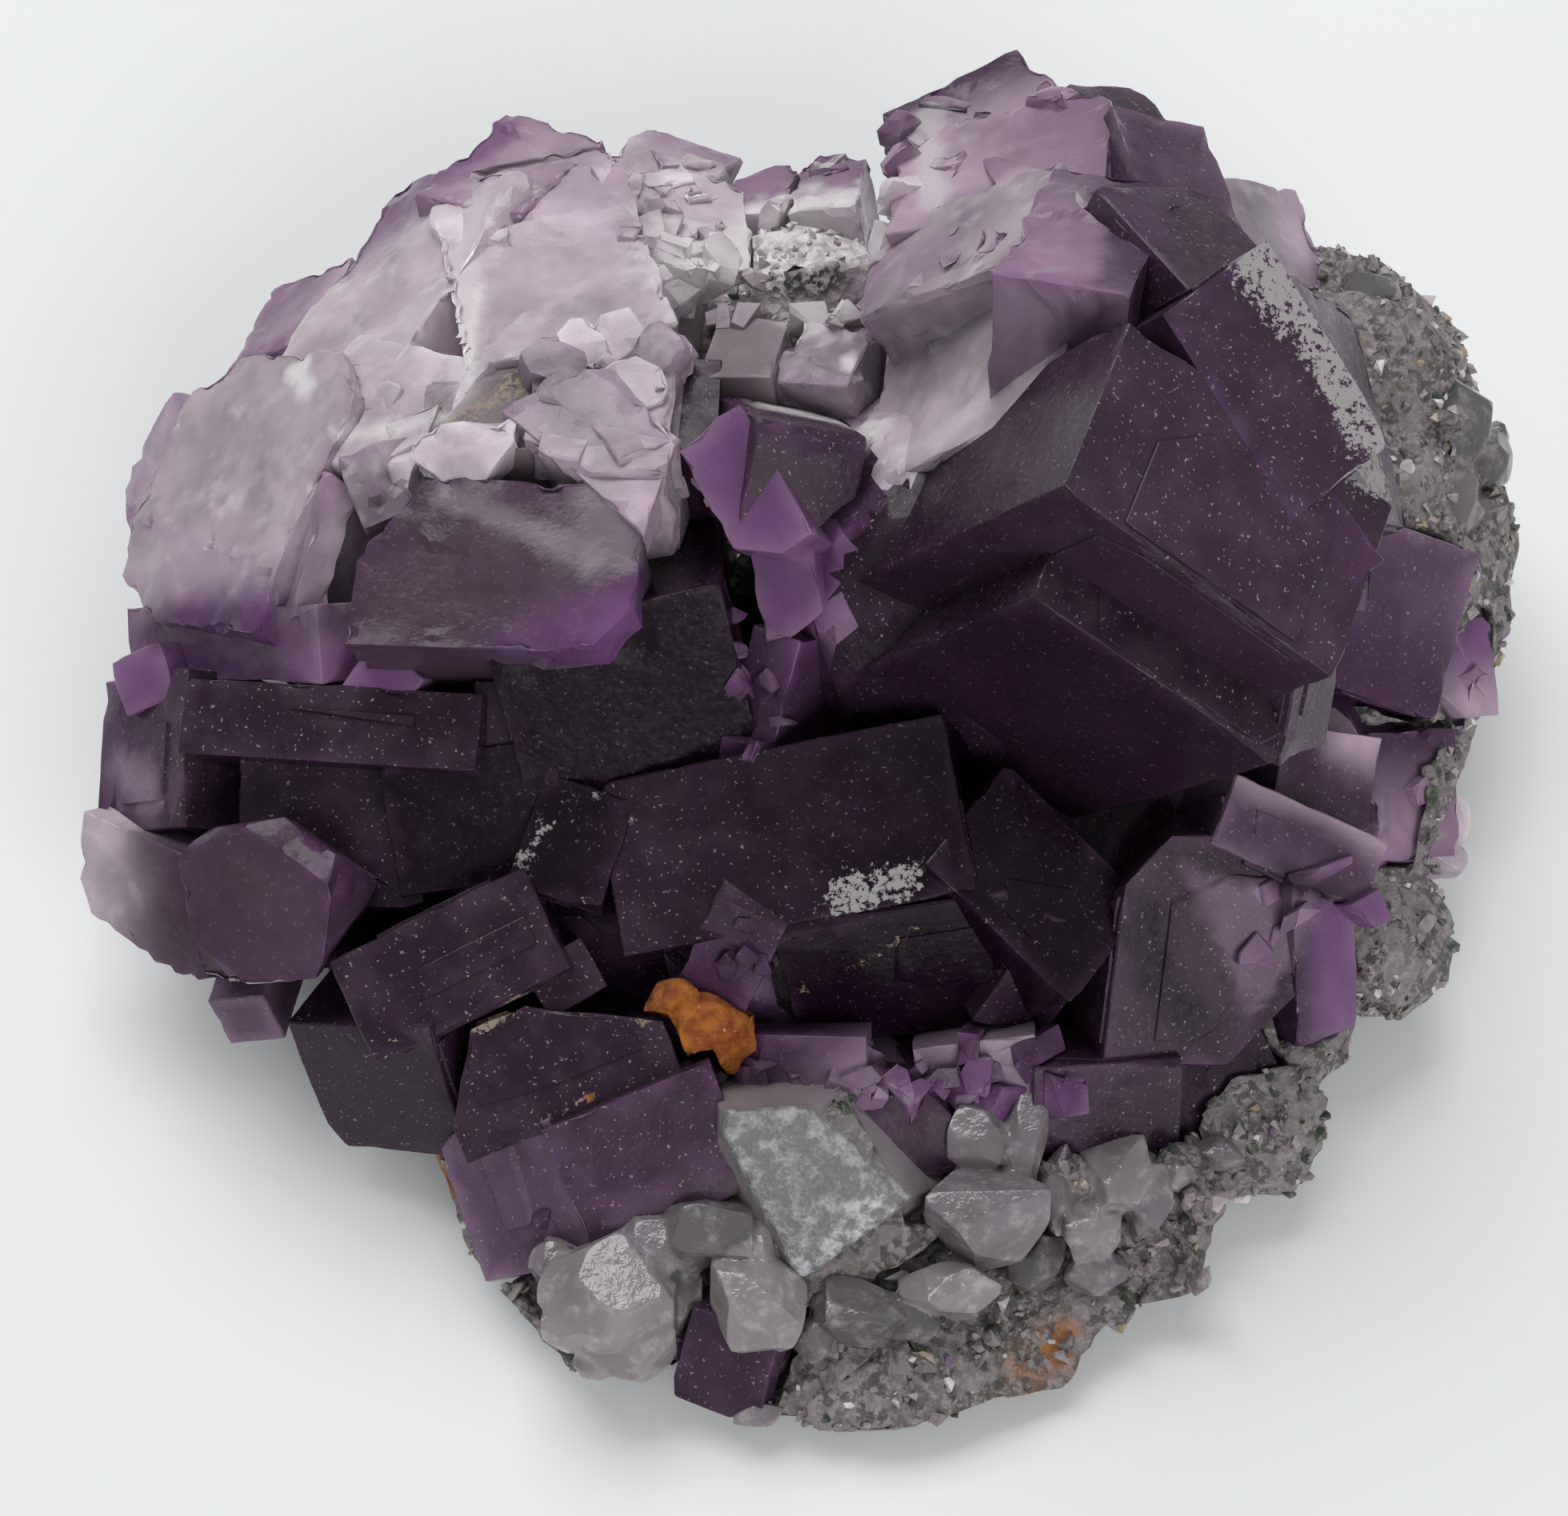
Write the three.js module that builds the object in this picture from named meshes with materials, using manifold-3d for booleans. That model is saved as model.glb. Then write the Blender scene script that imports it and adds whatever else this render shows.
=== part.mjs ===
// A cluster of purple fluorite crystals on a slab of granular quartz rock, in millimetres, +Z up.
// The crystals are listed in a working frame whose origin lies under the middle of the cluster.
// At the end the whole group is moved so that the origin is under the middle of its box.
import * as THREE from 'three';
import { ConvexGeometry } from 'three/addons/geometries/ConvexGeometry.js';
import { mergeVertices } from 'three/addons/utils/BufferGeometryUtils.js';
import Module from 'manifold-3d';

const wasm = await Module();
wasm.setup();

// Driving dimensions
const GAP = 0.3; // clearance between two neighbouring pieces
const FOOT = 1.2; // lowest fluorite, so that the cluster rests on its rock
const REACH = 200; // side of a block that stands for everything beyond a cut
const WELD = 1e-4; // corners closer than this are one corner

// Each fluorite crystal is a block given by the face it shows: the middle of that face, the
// direction it looks, its width, height and depth, and its turn in its own plane in degrees.
// A trim cuts the block along a line in that face: the direction of the cut in degrees, its
// distance from the middle, and how many degrees the cut leans outwards below the face.

// The big stepped crystal: two layers grown in parallel, and the ledge between them
const MAIN_LOOKS = [-0.37, -0.92, -0.1];
const MAIN_SPIN = -30;
const STEPPED_CRYSTAL = {
  frontLayer: { at: [9.3, -0.8, 15.7], looks: MAIN_LOOKS, size: [11.5, 16.3, 10], spin: MAIN_SPIN },
  backLayer: { at: [10.1, 0.5, 19.6], looks: MAIN_LOOKS, size: [12.3, 17, 7.4], spin: MAIN_SPIN },
};

const DARK_CRYSTALS = {
  lowerRoof: { at: [-0.1, -3.9, 12.8], looks: [-0.2, -0.37, 0.91], size: [14, 6.9, 8], spin: 10 },
  lowerRight: { at: [9.8, -5.6, 12.1], looks: [0.37, -0.27, 0.89], size: [7.9, 5.5, 8], spin: -40 },
  lowerFront: { at: [4.6, -8, 9], looks: [0.02, -0.93, 0.37], size: [9.2, 6.8, 8], spin: 11 },
  lowerCorner: { at: [10.2, -8.1, 8.8], looks: [0.3, -0.88, 0.36], size: [3.6, 5.6, 7], spin: -30 },
  sideTablet: { at: [-8.3, -3.6, 11.6], looks: [-0.05, -0.4, 0.92], size: [3.8, 4.6, 6], spin: -19 },
  lowSlab: {
    at: [-8.9, -11.4, 8.3], looks: [0.02, -0.45, 0.89], size: [9, 4.8, 6], spin: 22,
    trims: [[150, 3.4, 5], [62, 2, 8]],
  },
  lowLeft: { at: [-12.9, -8.2, 10.2], looks: [-0.01, -0.44, 0.9], size: [8.4, 4.4, 8], spin: 26 },
  lowLeftSide: {
    at: [-16, -11.6, 5.8], looks: [-0.33, -0.85, 0.41], size: [6.5, 6.4, 8], spin: 12,
    trims: [[-135, 4, 10]],
  },
  bottomBlock: { at: [-5.1, -14.8, 6.9], looks: [0.03, -0.55, 0.84], size: [6.9, 5.2, 6], spin: 22 },
  bottomLeft: { at: [-10.4, -15.8, 4.9], looks: [-0.3, -0.61, 0.73], size: [5, 6, 5], spin: 20 },
  leftBand: { at: [-17.8, 0.5, 13.8], looks: [-0.16, -0.35, 0.92], size: [12.2, 3, 8], spin: -5 },
  leftEnd: { at: [-26.4, 1.7, 9.5], looks: [-0.64, -0.27, 0.72], size: [5.9, 6.6, 7], spin: -1 },
  leftHollow: { at: [-12.1, -2.5, 11.6], looks: [-0.01, -0.65, 0.76], size: [7, 5.5, 8], spin: 8 },
  leftWall: { at: [-6.1, 0.9, 15.2], looks: [0.1, -0.82, 0.56], size: [9.5, 7.4, 8], spin: 11 },
  leftStep: { at: [-18, -2.2, 10.6], looks: [-0.09, -0.52, 0.85], size: [7.6, 6.7, 8], spin: -1 },
  leftSpur: { at: [-10.4, 0.4, 13.8], looks: [0.03, -0.61, 0.79], size: [3.2, 3.6, 6], spin: 3 },
  lowGap: { at: [-8.5, -8.3, 9.2], looks: [0.15, -0.43, 0.89], size: [2.6, 2.2, 5], spin: 30 },
  rightDark: { at: [17.2, 5.8, 28.2], looks: [0.3, -0.42, 0.85], size: [5, 8.4, 9], spin: 36 },
  rightLedge: { at: [16.6, 2, 26.3], looks: [0.3, -0.42, 0.85], size: [5, 9, 8], spin: 40 },
  rightFrosted: {
    at: [21.4, 9.6, 22], looks: [0.84, -0.04, 0.54], size: [9.5, 9, 8], spin: 24,
    trims: [[45, 5.6, 20]],
  },
  upperDark: { at: [15.5, 18, 25], looks: [0.35, 0.16, 0.92], size: [4.3, 9, 10], spin: 8 },
  upperDarkLow: { at: [15.1, 12.4, 28], looks: [0.32, 0.25, 0.91], size: [5.3, 6.8, 10], spin: 30 },
};

const PURPLE_CRYSTALS = {
  zoned: {
    at: [17.4, -7.1, 9], looks: [0.25, -0.66, 0.71], size: [9.4, 9.4, 7], spin: -5,
    trims: [[-42, 3.6, 8], [140, 5, 20]],
  },
  zonedTop: { at: [20.2, -3.6, 11.6], looks: [0.24, -0.41, 0.88], size: [7, 3, 5], spin: -22 },
  zonedSide: { at: [21.5, -6.7, 8.1], looks: [0.42, -0.71, 0.56], size: [2.9, 7.8, 5], spin: 8 },
  rightBlock: { at: [25.2, 6.4, 12.4], looks: [0.39, -0.56, 0.73], size: [6.4, 7.2, 8], spin: -16 },
  rightChip: {
    at: [29, 6.6, 8.3], looks: [0.37, -0.46, 0.8], size: [3.4, 4.4, 5], spin: 5,
    trims: [[-140, 1.7, 0]],
  },
  rightRim: { at: [19.3, -1.3, 20.4], looks: [0.77, -0.54, 0.34], size: [3.6, 6.5, 3], spin: -7 },
  rightStrip: { at: [22, 6.4, 17.4], looks: [0.8, -0.4, 0.45], size: [5.4, 5, 6], spin: -7 },
  farRight: { at: [30.3, 9, 7.8], looks: [0.73, -0.22, 0.65], size: [2.7, 5.1, 6], spin: -54 },
  rimChip: { at: [28.7, 0.9, 4.4], looks: [0.64, -0.22, 0.74], size: [2, 3.4, 4], spin: -14 },
  rightLow: { at: [26.3, 0.9, 7.4], looks: [0.53, -0.44, 0.73], size: [5.4, 5.4, 5], spin: 1 },
  rightClear: { at: [21.7, -0.6, 10.8], looks: [0.5, -0.55, 0.67], size: [5.3, 4.4, 6], spin: -10 },
  topFace: {
    at: [8.6, 20.8, 23.5], looks: [-0.3, 0.14, 0.94], size: [8.8, 6.7, 10], spin: -8,
    trims: [[150, 4.3, 20]],
  },
  topCrown: {
    at: [8.2, 27, 20.6], looks: [-0.18, 0.2, 0.96], size: [7, 4.8, 7], spin: 30,
    trims: [[45, 3.8, 25]],
  },
  topKnob: {
    at: [14.4, 27.8, 19.8], looks: [0.25, 0.29, 0.92], size: [4.2, 3.6, 6], spin: 20,
    trims: [[40, 2.1, 20], [130, 2.3, 20]],
  },
  topRight: {
    at: [11.1, 12.8, 28.2], looks: [-0.03, 0.3, 0.95], size: [4.9, 8.2, 9], spin: -20,
    trims: [[45, 4, 20]],
  },
  topMiddle: { at: [6.6, 15.9, 24.2], looks: [-0.59, 0.2, 0.78], size: [8.5, 5.3, 9], spin: -20 },
  knobLeft: {
    at: [-1.1, 27.7, 15], looks: [-0.28, 0.24, 0.93], size: [3, 3.8, 6], spin: -19,
    trims: [[45, 1.9, 20], [135, 1.9, 20]],
  },
  knobRight: {
    at: [2, 27.4, 15.8], looks: [-0.17, 0.27, 0.95], size: [3, 4.6, 6], spin: -8,
    trims: [[120, 2, 15]],
  },
  smallCentre: { at: [-2.1, -7.8, 10.2], looks: [-0.3, -0.8, 0.5], size: [3, 4.5, 4], spin: -22 },
  hangingHigh: {
    at: [0.1, 4.2, 17.6], looks: [-0.37, -0.54, 0.76], size: [2.6, 3.6, 5], spin: 9,
    trims: [[-60, 1.5, 10]],
  },
  hangingMid: {
    at: [-0.8, 1.6, 14.8], looks: [-0.53, -0.52, 0.67], size: [2.2, 4.4, 5], spin: -16,
    trims: [[-130, 1.9, 0]],
  },
  hangingLow: { at: [-1.9, -0.7, 12.5], looks: [-0.26, -0.84, 0.47], size: [1.5, 2.4, 5], spin: -8 },
  druseLeft: { at: [0.9, -11.3, 6.8], looks: [-0.13, -0.65, 0.75], size: [4.7, 3.1, 4], spin: 1 },
  druseRight: { at: [7.6, -11.2, 6.9], looks: [-0.07, -0.64, 0.76], size: [4.9, 2.4, 4], spin: 9 },
  leftRounded: {
    at: [-20.4, -6, 11], looks: [-0.35, -0.55, 0.76], size: [6.6, 6.2, 6], spin: 10,
    trims: [[50, 3.3, 20], [-40, 3.4, 15], [140, 3.7, 15], [-125, 3.9, 10]],
  },
  leftTip: {
    at: [-26, -3.9, 7.4], looks: [-0.5, -0.58, 0.64], size: [7.4, 5, 4], spin: -12,
    trims: [[-150, 3.4, 10], [-100, 2.3, 0]],
  },
  leftKnob: { at: [-21.6, -8.6, 5.8], looks: [-0.06, -0.94, 0.32], size: [2.4, 2.6, 6], spin: 12 },
  footLeft: {
    at: [-7.4, -19.4, 3], looks: [-0.3, -0.7, 0.65], size: [5.4, 4, 9], spin: -20,
    trims: [[-110, 1.9, 10]],
  },
  footRight: {
    at: [-2.2, -21.8, 3], looks: [-0.28, -0.66, 0.69], size: [3.8, 4, 10], spin: -14,
    trims: [[-60, 2, 10]],
  },
};

const PALE_CRYSTALS = {
  middleSlope: {
    at: [7.1, 11.6, 23.2], looks: [-0.78, 0.05, 0.62], size: [11, 9, 9], spin: -14,
    trims: [[135, 6.4, 10]],
  },
  midCrystal: { at: [1.7, 14.8, 19.2], looks: [-0.28, 0.17, 0.94], size: [3.4, 4, 8], spin: -23 },
  midCrystalLeft: { at: [-1.6, 15.3, 18.8], looks: [-0.15, 0.23, 0.96], size: [3, 4, 8], spin: -11 },
  topPlane: {
    at: [-10.2, 21.8, 17.6], looks: [-0.08, 0.19, 0.98], size: [8.6, 14, 9], spin: 13,
    trims: [[135, 7, 25], [40, 7, 20]],
  },
  topPoint: { at: [-12.1, 28, 16.2], looks: [-0.09, 0.27, 0.96], size: [7.3, 5.5, 7], spin: 61 },
  topPlaneLow: { at: [-11.9, 11.7, 19.2], looks: [-0.19, 0.1, 0.98], size: [5, 5, 8], spin: 2 },
  topPlaneLeft: {
    at: [-17, 22, 15.4], looks: [-0.5, 0.16, 0.85], size: [8.4, 12.7, 9], spin: -29,
    trims: [[130, 6.6, 20]],
  },
  middlePlane: { at: [-16.5, 13.5, 17.3], looks: [-0.39, 0.14, 0.91], size: [8, 6.4, 8], spin: -34 },
  backMass: {
    at: [-4.6, 25, 16], looks: [0.1, 0.28, 0.95], size: [6, 8, 8], spin: 3,
    trims: [[60, 3.6, 30]],
  },
  backStep: { at: [-5.3, 30.1, 14.3], looks: [0.18, 0.33, 0.93], size: [4.8, 5, 7], spin: -27 },
  leftMass: {
    at: [-23, 11.8, 14.4], looks: [-0.53, -0.03, 0.85], size: [10.6, 12.4, 9], spin: -24,
    trims: [[45, 6.4, 20], [135, 6.6, 10], [-120, 6.6, 10]],
  },
  leftBase: { at: [-23, 5.2, 12.3], looks: [-0.6, -0.5, 0.63], size: [12, 3, 6], spin: 3 },
  leftChip: { at: [-15.8, 1.7, 14.6], looks: [-0.17, -0.58, 0.8], size: [2.4, 2.8, 5], spin: -40 },
  smoky: {
    at: [-10.9, 4.3, 19.2], looks: [-0.13, -0.24, 0.96], size: [11, 6.8, 8], spin: -5,
    trims: [[150, 4.7, 25], [40, 5, 20], [-45, 5.4, 10]],
  },
  shards: {
    at: [-7.1, 11.1, 20.4], looks: [-0.04, 0.11, 0.99], size: [5.8, 7.4, 8], spin: -4,
    trims: [[-130, 3.3, 15], [60, 3.6, 10]],
  },
  shardDark: { at: [-3.7, 12.2, 19], looks: [0, 0, 1], size: [2.4, 4.6, 7], spin: 0 },
  pointLeft: {
    at: [-1.5, 6.8, 20.6], looks: [-0.3, -0.4, 0.87], size: [3, 6, 7], spin: 30,
    trims: [[-130, 2.3, 0]],
  },
  pointRight: {
    at: [0.7, 6.9, 20.5], looks: [0.25, -0.72, 0.65], size: [4.4, 4.6, 7], spin: -12,
    trims: [[-40, 1.7, 0]],
  },
  farLeft: { at: [-27.6, 15.4, 10.4], looks: [-0.77, -0.13, 0.62], size: [4, 6, 6], spin: -57 },
  leftPoint: { at: [-22.4, 24.2, 10.8], looks: [-0.54, 0.15, 0.83], size: [5.6, 5, 6], spin: -11 },
  upperRightPale: { at: [21.2, 23, 17], looks: [0.61, -0.02, 0.79], size: [6.3, 5, 7], spin: 23 },
  smokyLow: { at: [5, -13.5, 5.8], looks: [-0.04, -0.65, 0.76], size: [3.2, 3.5, 4], spin: 11 },
  smokyLowRight: { at: [12.7, -12.4, 6], looks: [0.13, -0.72, 0.68], size: [6, 3.8, 5], spin: 0 },
  rightLower: {
    at: [17.2, -11, 4.6], looks: [0.3, -0.55, 0.78], size: [6, 5.6, 5], spin: 30,
    trims: [[-60, 2.9, 0]],
  },
};

// A basis for a face: +X of the cluster laid into the face, its other side and its normal.
function faceBasis(looks) {
  const normal = new THREE.Vector3(...looks).normalize();
  const right = new THREE.Vector3(1, 0, 0).addScaledVector(normal, -normal.x).normalize();
  const up = new THREE.Vector3().crossVectors(normal, right);
  return new THREE.Matrix4().makeBasis(right, up, normal);
}

function toSolid(geometry) {
  const bare = geometry.index ? geometry.toNonIndexed() : geometry.clone();
  bare.deleteAttribute('normal');
  bare.deleteAttribute('uv');
  const merged = mergeVertices(bare, WELD);
  return new wasm.Manifold(new wasm.Mesh({
    numProp: 3,
    vertProperties: new Float32Array(merged.attributes.position.array),
    triVerts: new Uint32Array(merged.index.array),
  }));
}

// One crystal as a solid; grow moves each of its faces outwards.
function crystalSolid({ at, looks, size, spin, trims = [] }, grow = 0) {
  const place = faceBasis(looks).multiply(new THREE.Matrix4().makeRotationZ(THREE.MathUtils.degToRad(spin)));
  place.setPosition(...at);
  const [wide, high, deep] = size;
  const block = new THREE.BoxGeometry(wide + 2 * grow, high + 2 * grow, deep + 2 * grow);
  block.translate(0, 0, -deep / 2);
  let solid = toSolid(block.applyMatrix4(place));
  for (const [angle, distance, lean = 0] of trims) {
    const beyond = new THREE.BoxGeometry(REACH, REACH, REACH);
    beyond.translate(REACH / 2 + distance + grow, 0, 0);
    beyond.rotateY(THREE.MathUtils.degToRad(lean));
    beyond.rotateZ(THREE.MathUtils.degToRad(angle));
    solid = solid.subtract(toSolid(beyond.applyMatrix4(place)));
  }
  return solid;
}

// A lump is a rounded stone with flat facets, from points spread evenly over an ellipsoid whose
// distances wobble. The same seed gives the same stone.
const GOLDEN_ANGLE = Math.PI * (3 - Math.sqrt(5));

function seededRandom(seed) {
  let state = seed >>> 0;
  return () => {
    state = (state + 0x6d2b79f5) >>> 0;
    let mixed = Math.imul(state ^ (state >>> 15), 1 | state);
    mixed = (mixed + Math.imul(mixed ^ (mixed >>> 7), 61 | mixed)) ^ mixed;
    return ((mixed ^ (mixed >>> 14)) >>> 0) / 4294967296;
  };
}

function lumpSolid({ at, radii, seed, corners = 22, wobble = 0.25 }, grow = 0) {
  const random = seededRandom(seed);
  const points = [];
  for (let i = 0; i < corners; i += 1) {
    const level = 1 - (2 * i + 1) / corners;
    const ring = Math.sqrt(1 - level * level);
    const angle = i * GOLDEN_ANGLE + seed;
    const reach = 1 - wobble * random();
    points.push(new THREE.Vector3(
      at[0] + (radii[0] * reach + grow) * ring * Math.cos(angle),
      at[1] + (radii[1] * reach + grow) * ring * Math.sin(angle),
      at[2] + (radii[2] * reach + grow) * level,
    ));
  }
  return toSolid(new ConvexGeometry(points));
}

// The massive fluorite that the crystals stand on, hidden under them
const FLUORITE_MASS = [
  { at: [0, 3, 6], radii: [20, 13, 5], seed: 1 },
  { at: [8, 8, 13], radii: [10, 9, 9], seed: 2 },
  { at: [-13, 13, 8], radii: [12, 11, 8], seed: 3 },
  { at: [9, 18, 11], radii: [9, 8, 9], seed: 4 },
  { at: [20, 3, 6], radii: [7, 9, 6], seed: 5 },
  { at: [-4, -11, 3.5], radii: [12, 6, 3.5], seed: 6 },
  { at: [-3.5, -17, 2.2], radii: [5.5, 5, 2], seed: 7 },
];

// The stone that shows in the hollow at the back, and stones that stand out of the rock's side
const ROCK = [
  { at: [0.5, 22, 12], radii: [7, 4.5, 6.5], seed: 18 },
  { at: [24.5, 18.5, 12.5], radii: [6, 5.5, 5.5], seed: 19, corners: 30 },
  { at: [24.3, -4, 4], radii: [4, 4, 3.4], seed: 20, corners: 30 },
  { at: [18.5, -11.5, 2.6], radii: [4.4, 4, 2.6], seed: 21, corners: 30 },
];

// The rock's ragged outline around its middle. Each row gives a bearing in degrees from +X, how
// far the rock reaches there, the height of that outermost line and the height of its shoulder.
const ROCK_MIDDLE = [3, 2];
const ROCK_OUTLINE = [
  [-180, 24, 4.6, 6.6], [-160, 22.6, 4, 6], [-144, 22.4, 2.8, 4.6], [-130, 23.4, 2.2, 3.6],
  [-118, 24.8, 1.8, 2.8], [-104, 26, 1.6, 2.4], [-94, 26.2, 1.5, 2.3], [-84, 25, 1.5, 2.5],
  [-73, 24.4, 1.7, 2.8], [-60, 23.6, 2, 3.3], [-48, 22.2, 2.4, 4], [-35, 22, 3, 5],
  [-24, 22.6, 3.8, 6.2], [-13, 24, 4.6, 7.4], [-3, 25.2, 5.4, 8.4], [8, 26.8, 6.4, 10],
  [18, 30.2, 7.4, 12.6], [27, 32.6, 8.4, 14.6], [36, 33.8, 9, 15.6], [47, 34, 9, 15.6],
  [56, 31.8, 8.4, 14.4], [68, 28.6, 8, 13], [82, 27.6, 7.6, 12], [100, 28, 7, 11],
  [120, 28.4, 6.6, 10.4], [140, 27.6, 6.2, 10], [160, 25.6, 5.6, 8.6], [180, 24, 4.6, 6.6],
];
// Rings of the rock from its cut underside to its top: a share of the height from the underside
// to the outline, then a share of the height from the outline to the shoulder, and the distance
// inside the outline
const ROCK_RINGS = [
  [0, 0, 3.4], [0.4, 0, 1.2], [1, 0, 0], [1, 0.5, 1.4], [1, 1, 4.4], [1, 1, 11],
];
const ROCK_SIDES = 50;
const ROCK_RAGGED = [1.2, 0.6]; // how far a corner may stray outwards and upwards
const ROCK_TOP = 7;

// How far the rock reaches at a bearing, and the heights of its outermost line and its shoulder
function outlineAt(bearing) {
  const next = ROCK_OUTLINE.findIndex((row) => row[0] > bearing);
  const [from, to] = [ROCK_OUTLINE[next - 1], ROCK_OUTLINE[next]];
  const share = (bearing - from[0]) / (to[0] - from[0]);
  return [1, 2, 3].map((column) => from[column] + (to[column] - from[column]) * share);
}

// The point of one of the rock's rings at a bearing, moved outwards and upwards
function ringPoint([below, above, inside], bearing, out, up) {
  const [reach, line, shoulder] = outlineAt(bearing);
  const angle = THREE.MathUtils.degToRad(bearing);
  return [
    ROCK_MIDDLE[0] + (reach - inside + out) * Math.cos(angle),
    ROCK_MIDDLE[1] + (reach - inside + out) * Math.sin(angle),
    line * below + (shoulder - line) * above + up,
  ];
}

// The rock as rings of corners around its middle, closed by a fan below and a fan on top
function rockSolid(grow) {
  const random = seededRandom(71);
  const stray = (range) => range * (2 * random() - 1);
  const points = [...ROCK_MIDDLE, -grow];
  for (const ring of ROCK_RINGS) {
    for (let i = 0; i < ROCK_SIDES; i += 1) {
      const bearing = -180 + (360 * i) / ROCK_SIDES;
      const out = stray(ROCK_RAGGED[0]) + grow;
      const up = ring[0] > 0 ? stray(ROCK_RAGGED[1]) + grow : -grow;
      points.push(...ringPoint(ring, bearing, out, up));
    }
  }
  points.push(...ROCK_MIDDLE, ROCK_TOP + grow);
  const corner = (ring, i) => 1 + ring * ROCK_SIDES + (i % ROCK_SIDES);
  const last = ROCK_RINGS.length - 1;
  const top = points.length / 3 - 1;
  const faces = [];
  for (let i = 0; i < ROCK_SIDES; i += 1) {
    faces.push(0, corner(0, i + 1), corner(0, i));
    for (let ring = 0; ring < last; ring += 1) {
      const [a, b] = [corner(ring, i), corner(ring, i + 1)];
      const [c, d] = [corner(ring + 1, i), corner(ring + 1, i + 1)];
      faces.push(a, b, d, a, d, c);
    }
    faces.push(corner(last, i), corner(last, i + 1), top);
  }
  const geometry = new THREE.BufferGeometry();
  geometry.setAttribute('position', new THREE.Float32BufferAttribute(points, 3));
  geometry.setIndex(faces);
  return toSolid(geometry);
}

// Quartz crystals grown on the rock along its front rim
const QUARTZ_CRYSTALS = [
  { at: [8, -15.7, 4.4], radii: [2, 1.8, 2], seed: 31 },
  { at: [8.3, -13.3, 5.4], radii: [1.6, 1.6, 1.7], seed: 32 },
  { at: [6.6, -18.3, 2.6], radii: [1.7, 1.5, 1.6], seed: 33 },
  { at: [11, -14.9, 4.2], radii: [1.6, 1.6, 1.8], seed: 34 },
  { at: [13.2, -14.9, 4], radii: [1.6, 1.5, 1.7], seed: 35 },
  { at: [15.8, -14, 4], radii: [1.4, 1.4, 1.6], seed: 36 },
  { at: [16.5, -15.2, 3], radii: [1.3, 1.4, 1.4], seed: 37 },
  { at: [11.7, -17, 2.6], radii: [1.6, 1.5, 1.6], seed: 38 },
  { at: [9.2, -18.1, 2], radii: [1.4, 1.4, 1.5], seed: 39 },
  { at: [14.2, -16.4, 2.6], radii: [1.4, 1.4, 1.5], seed: 40 },
  { at: [-6.8, -19.1, 2.8], radii: [2.3, 2.2, 2.3], seed: 41 },
  { at: [-1.1, -19.3, 3], radii: [1.7, 1.8, 2.2], seed: 42 },
  { at: [-3.4, -17.1, 4.2], radii: [1.8, 1.7, 2.2], seed: 43 },
  { at: [28.7, 16.2, 10.5], radii: [2.5, 2.5, 2.5], seed: 44 },
  { at: [29.9, 13.8, 8.5], radii: [2.1, 2.1, 2.2], seed: 45 },
];

// Coarse grains scattered over the open side of the rock, along its outer rings
const GRAIN_COUNT = 40;
const GRAIN_RADIUS = [0.8, 1.5];
const GRAIN_ARC = [-125, 75]; // bearings in degrees from +X
const GRAIN_RINGS = ROCK_RINGS.slice(1, 5);

function rimGrains() {
  const random = seededRandom(61);
  const between = ([low, high]) => low + (high - low) * random();
  const grains = [];
  for (let i = 0; i < GRAIN_COUNT; i += 1) {
    const ring = GRAIN_RINGS[Math.floor(random() * GRAIN_RINGS.length)];
    const radius = between(GRAIN_RADIUS);
    const at = ringPoint(ring, between(GRAIN_ARC), -radius / 2, 0);
    grains.push({ at, radii: [radius, radius, radius], seed: 100 + i, corners: 10 });
  }
  return grains;
}

const FROSTED_CRYSTAL = { at: [1.8, -16.2, 5.8], looks: [0.1, -0.64, 0.76], size: [4.7, 6.6, 5], spin: 25 };

// Iron-stained clay packed into the gap between the crystals at the front
const CLAY = [
  { at: [-3, -9.8, 7.4], radii: [2.2, 2, 2], seed: 51 },
  { at: [-4.2, -9, 8.2], radii: [1.5, 1.4, 1.6], seed: 52 },
];

function join(solids) {
  return solids.reduce((whole, solid) => whole.add(solid));
}

const crystals = Object.values({
  ...STEPPED_CRYSTAL,
  ...DARK_CRYSTALS,
  ...PURPLE_CRYSTALS,
  ...PALE_CRYSTALS,
});

function allBelow(height) {
  const block = new THREE.BoxGeometry(REACH, REACH, REACH);
  block.translate(0, 0, height - REACH / 2);
  return toSolid(block);
}

function fluoriteSolid(grow) {
  const parts = crystals.map((one) => crystalSolid(one, grow));
  parts.push(...FLUORITE_MASS.map((one) => lumpSolid(one, grow)));
  return largestBody(join(parts).subtract(allBelow(FOOT - grow)));
}

function matrixSolid(grow) {
  const parts = [...ROCK, ...QUARTZ_CRYSTALS, ...rimGrains()].map((one) => lumpSolid(one, grow));
  parts.push(crystalSolid(FROSTED_CRYSTAL, grow), rockSolid(grow));
  return join(parts);
}

// The largest of the separate bodies that a cut or a join leaves, without its inner pockets
function largestBody(solid) {
  return solid.decompose().reduce((best, one) => (one.volume() > best.volume() ? one : best));
}

const fluorite = fluoriteSolid(0);
const fluoriteRoom = fluoriteSolid(GAP);
const matrix = largestBody(matrixSolid(0).subtract(fluoriteRoom).subtract(allBelow(0)));
const clay = largestBody(
  join(CLAY.map((one) => lumpSolid(one))).subtract(fluoriteRoom).subtract(matrixSolid(GAP)),
);

function toMesh(name, solid, material) {
  const { vertProperties, triVerts } = solid.getMesh();
  const geometry = new THREE.BufferGeometry();
  geometry.setAttribute('position', new THREE.BufferAttribute(new Float32Array(vertProperties), 3));
  geometry.setIndex(new THREE.BufferAttribute(new Uint32Array(triVerts), 1));
  geometry.computeVertexNormals();
  const mesh = new THREE.Mesh(geometry, material);
  mesh.name = name;
  return mesh;
}

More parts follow.
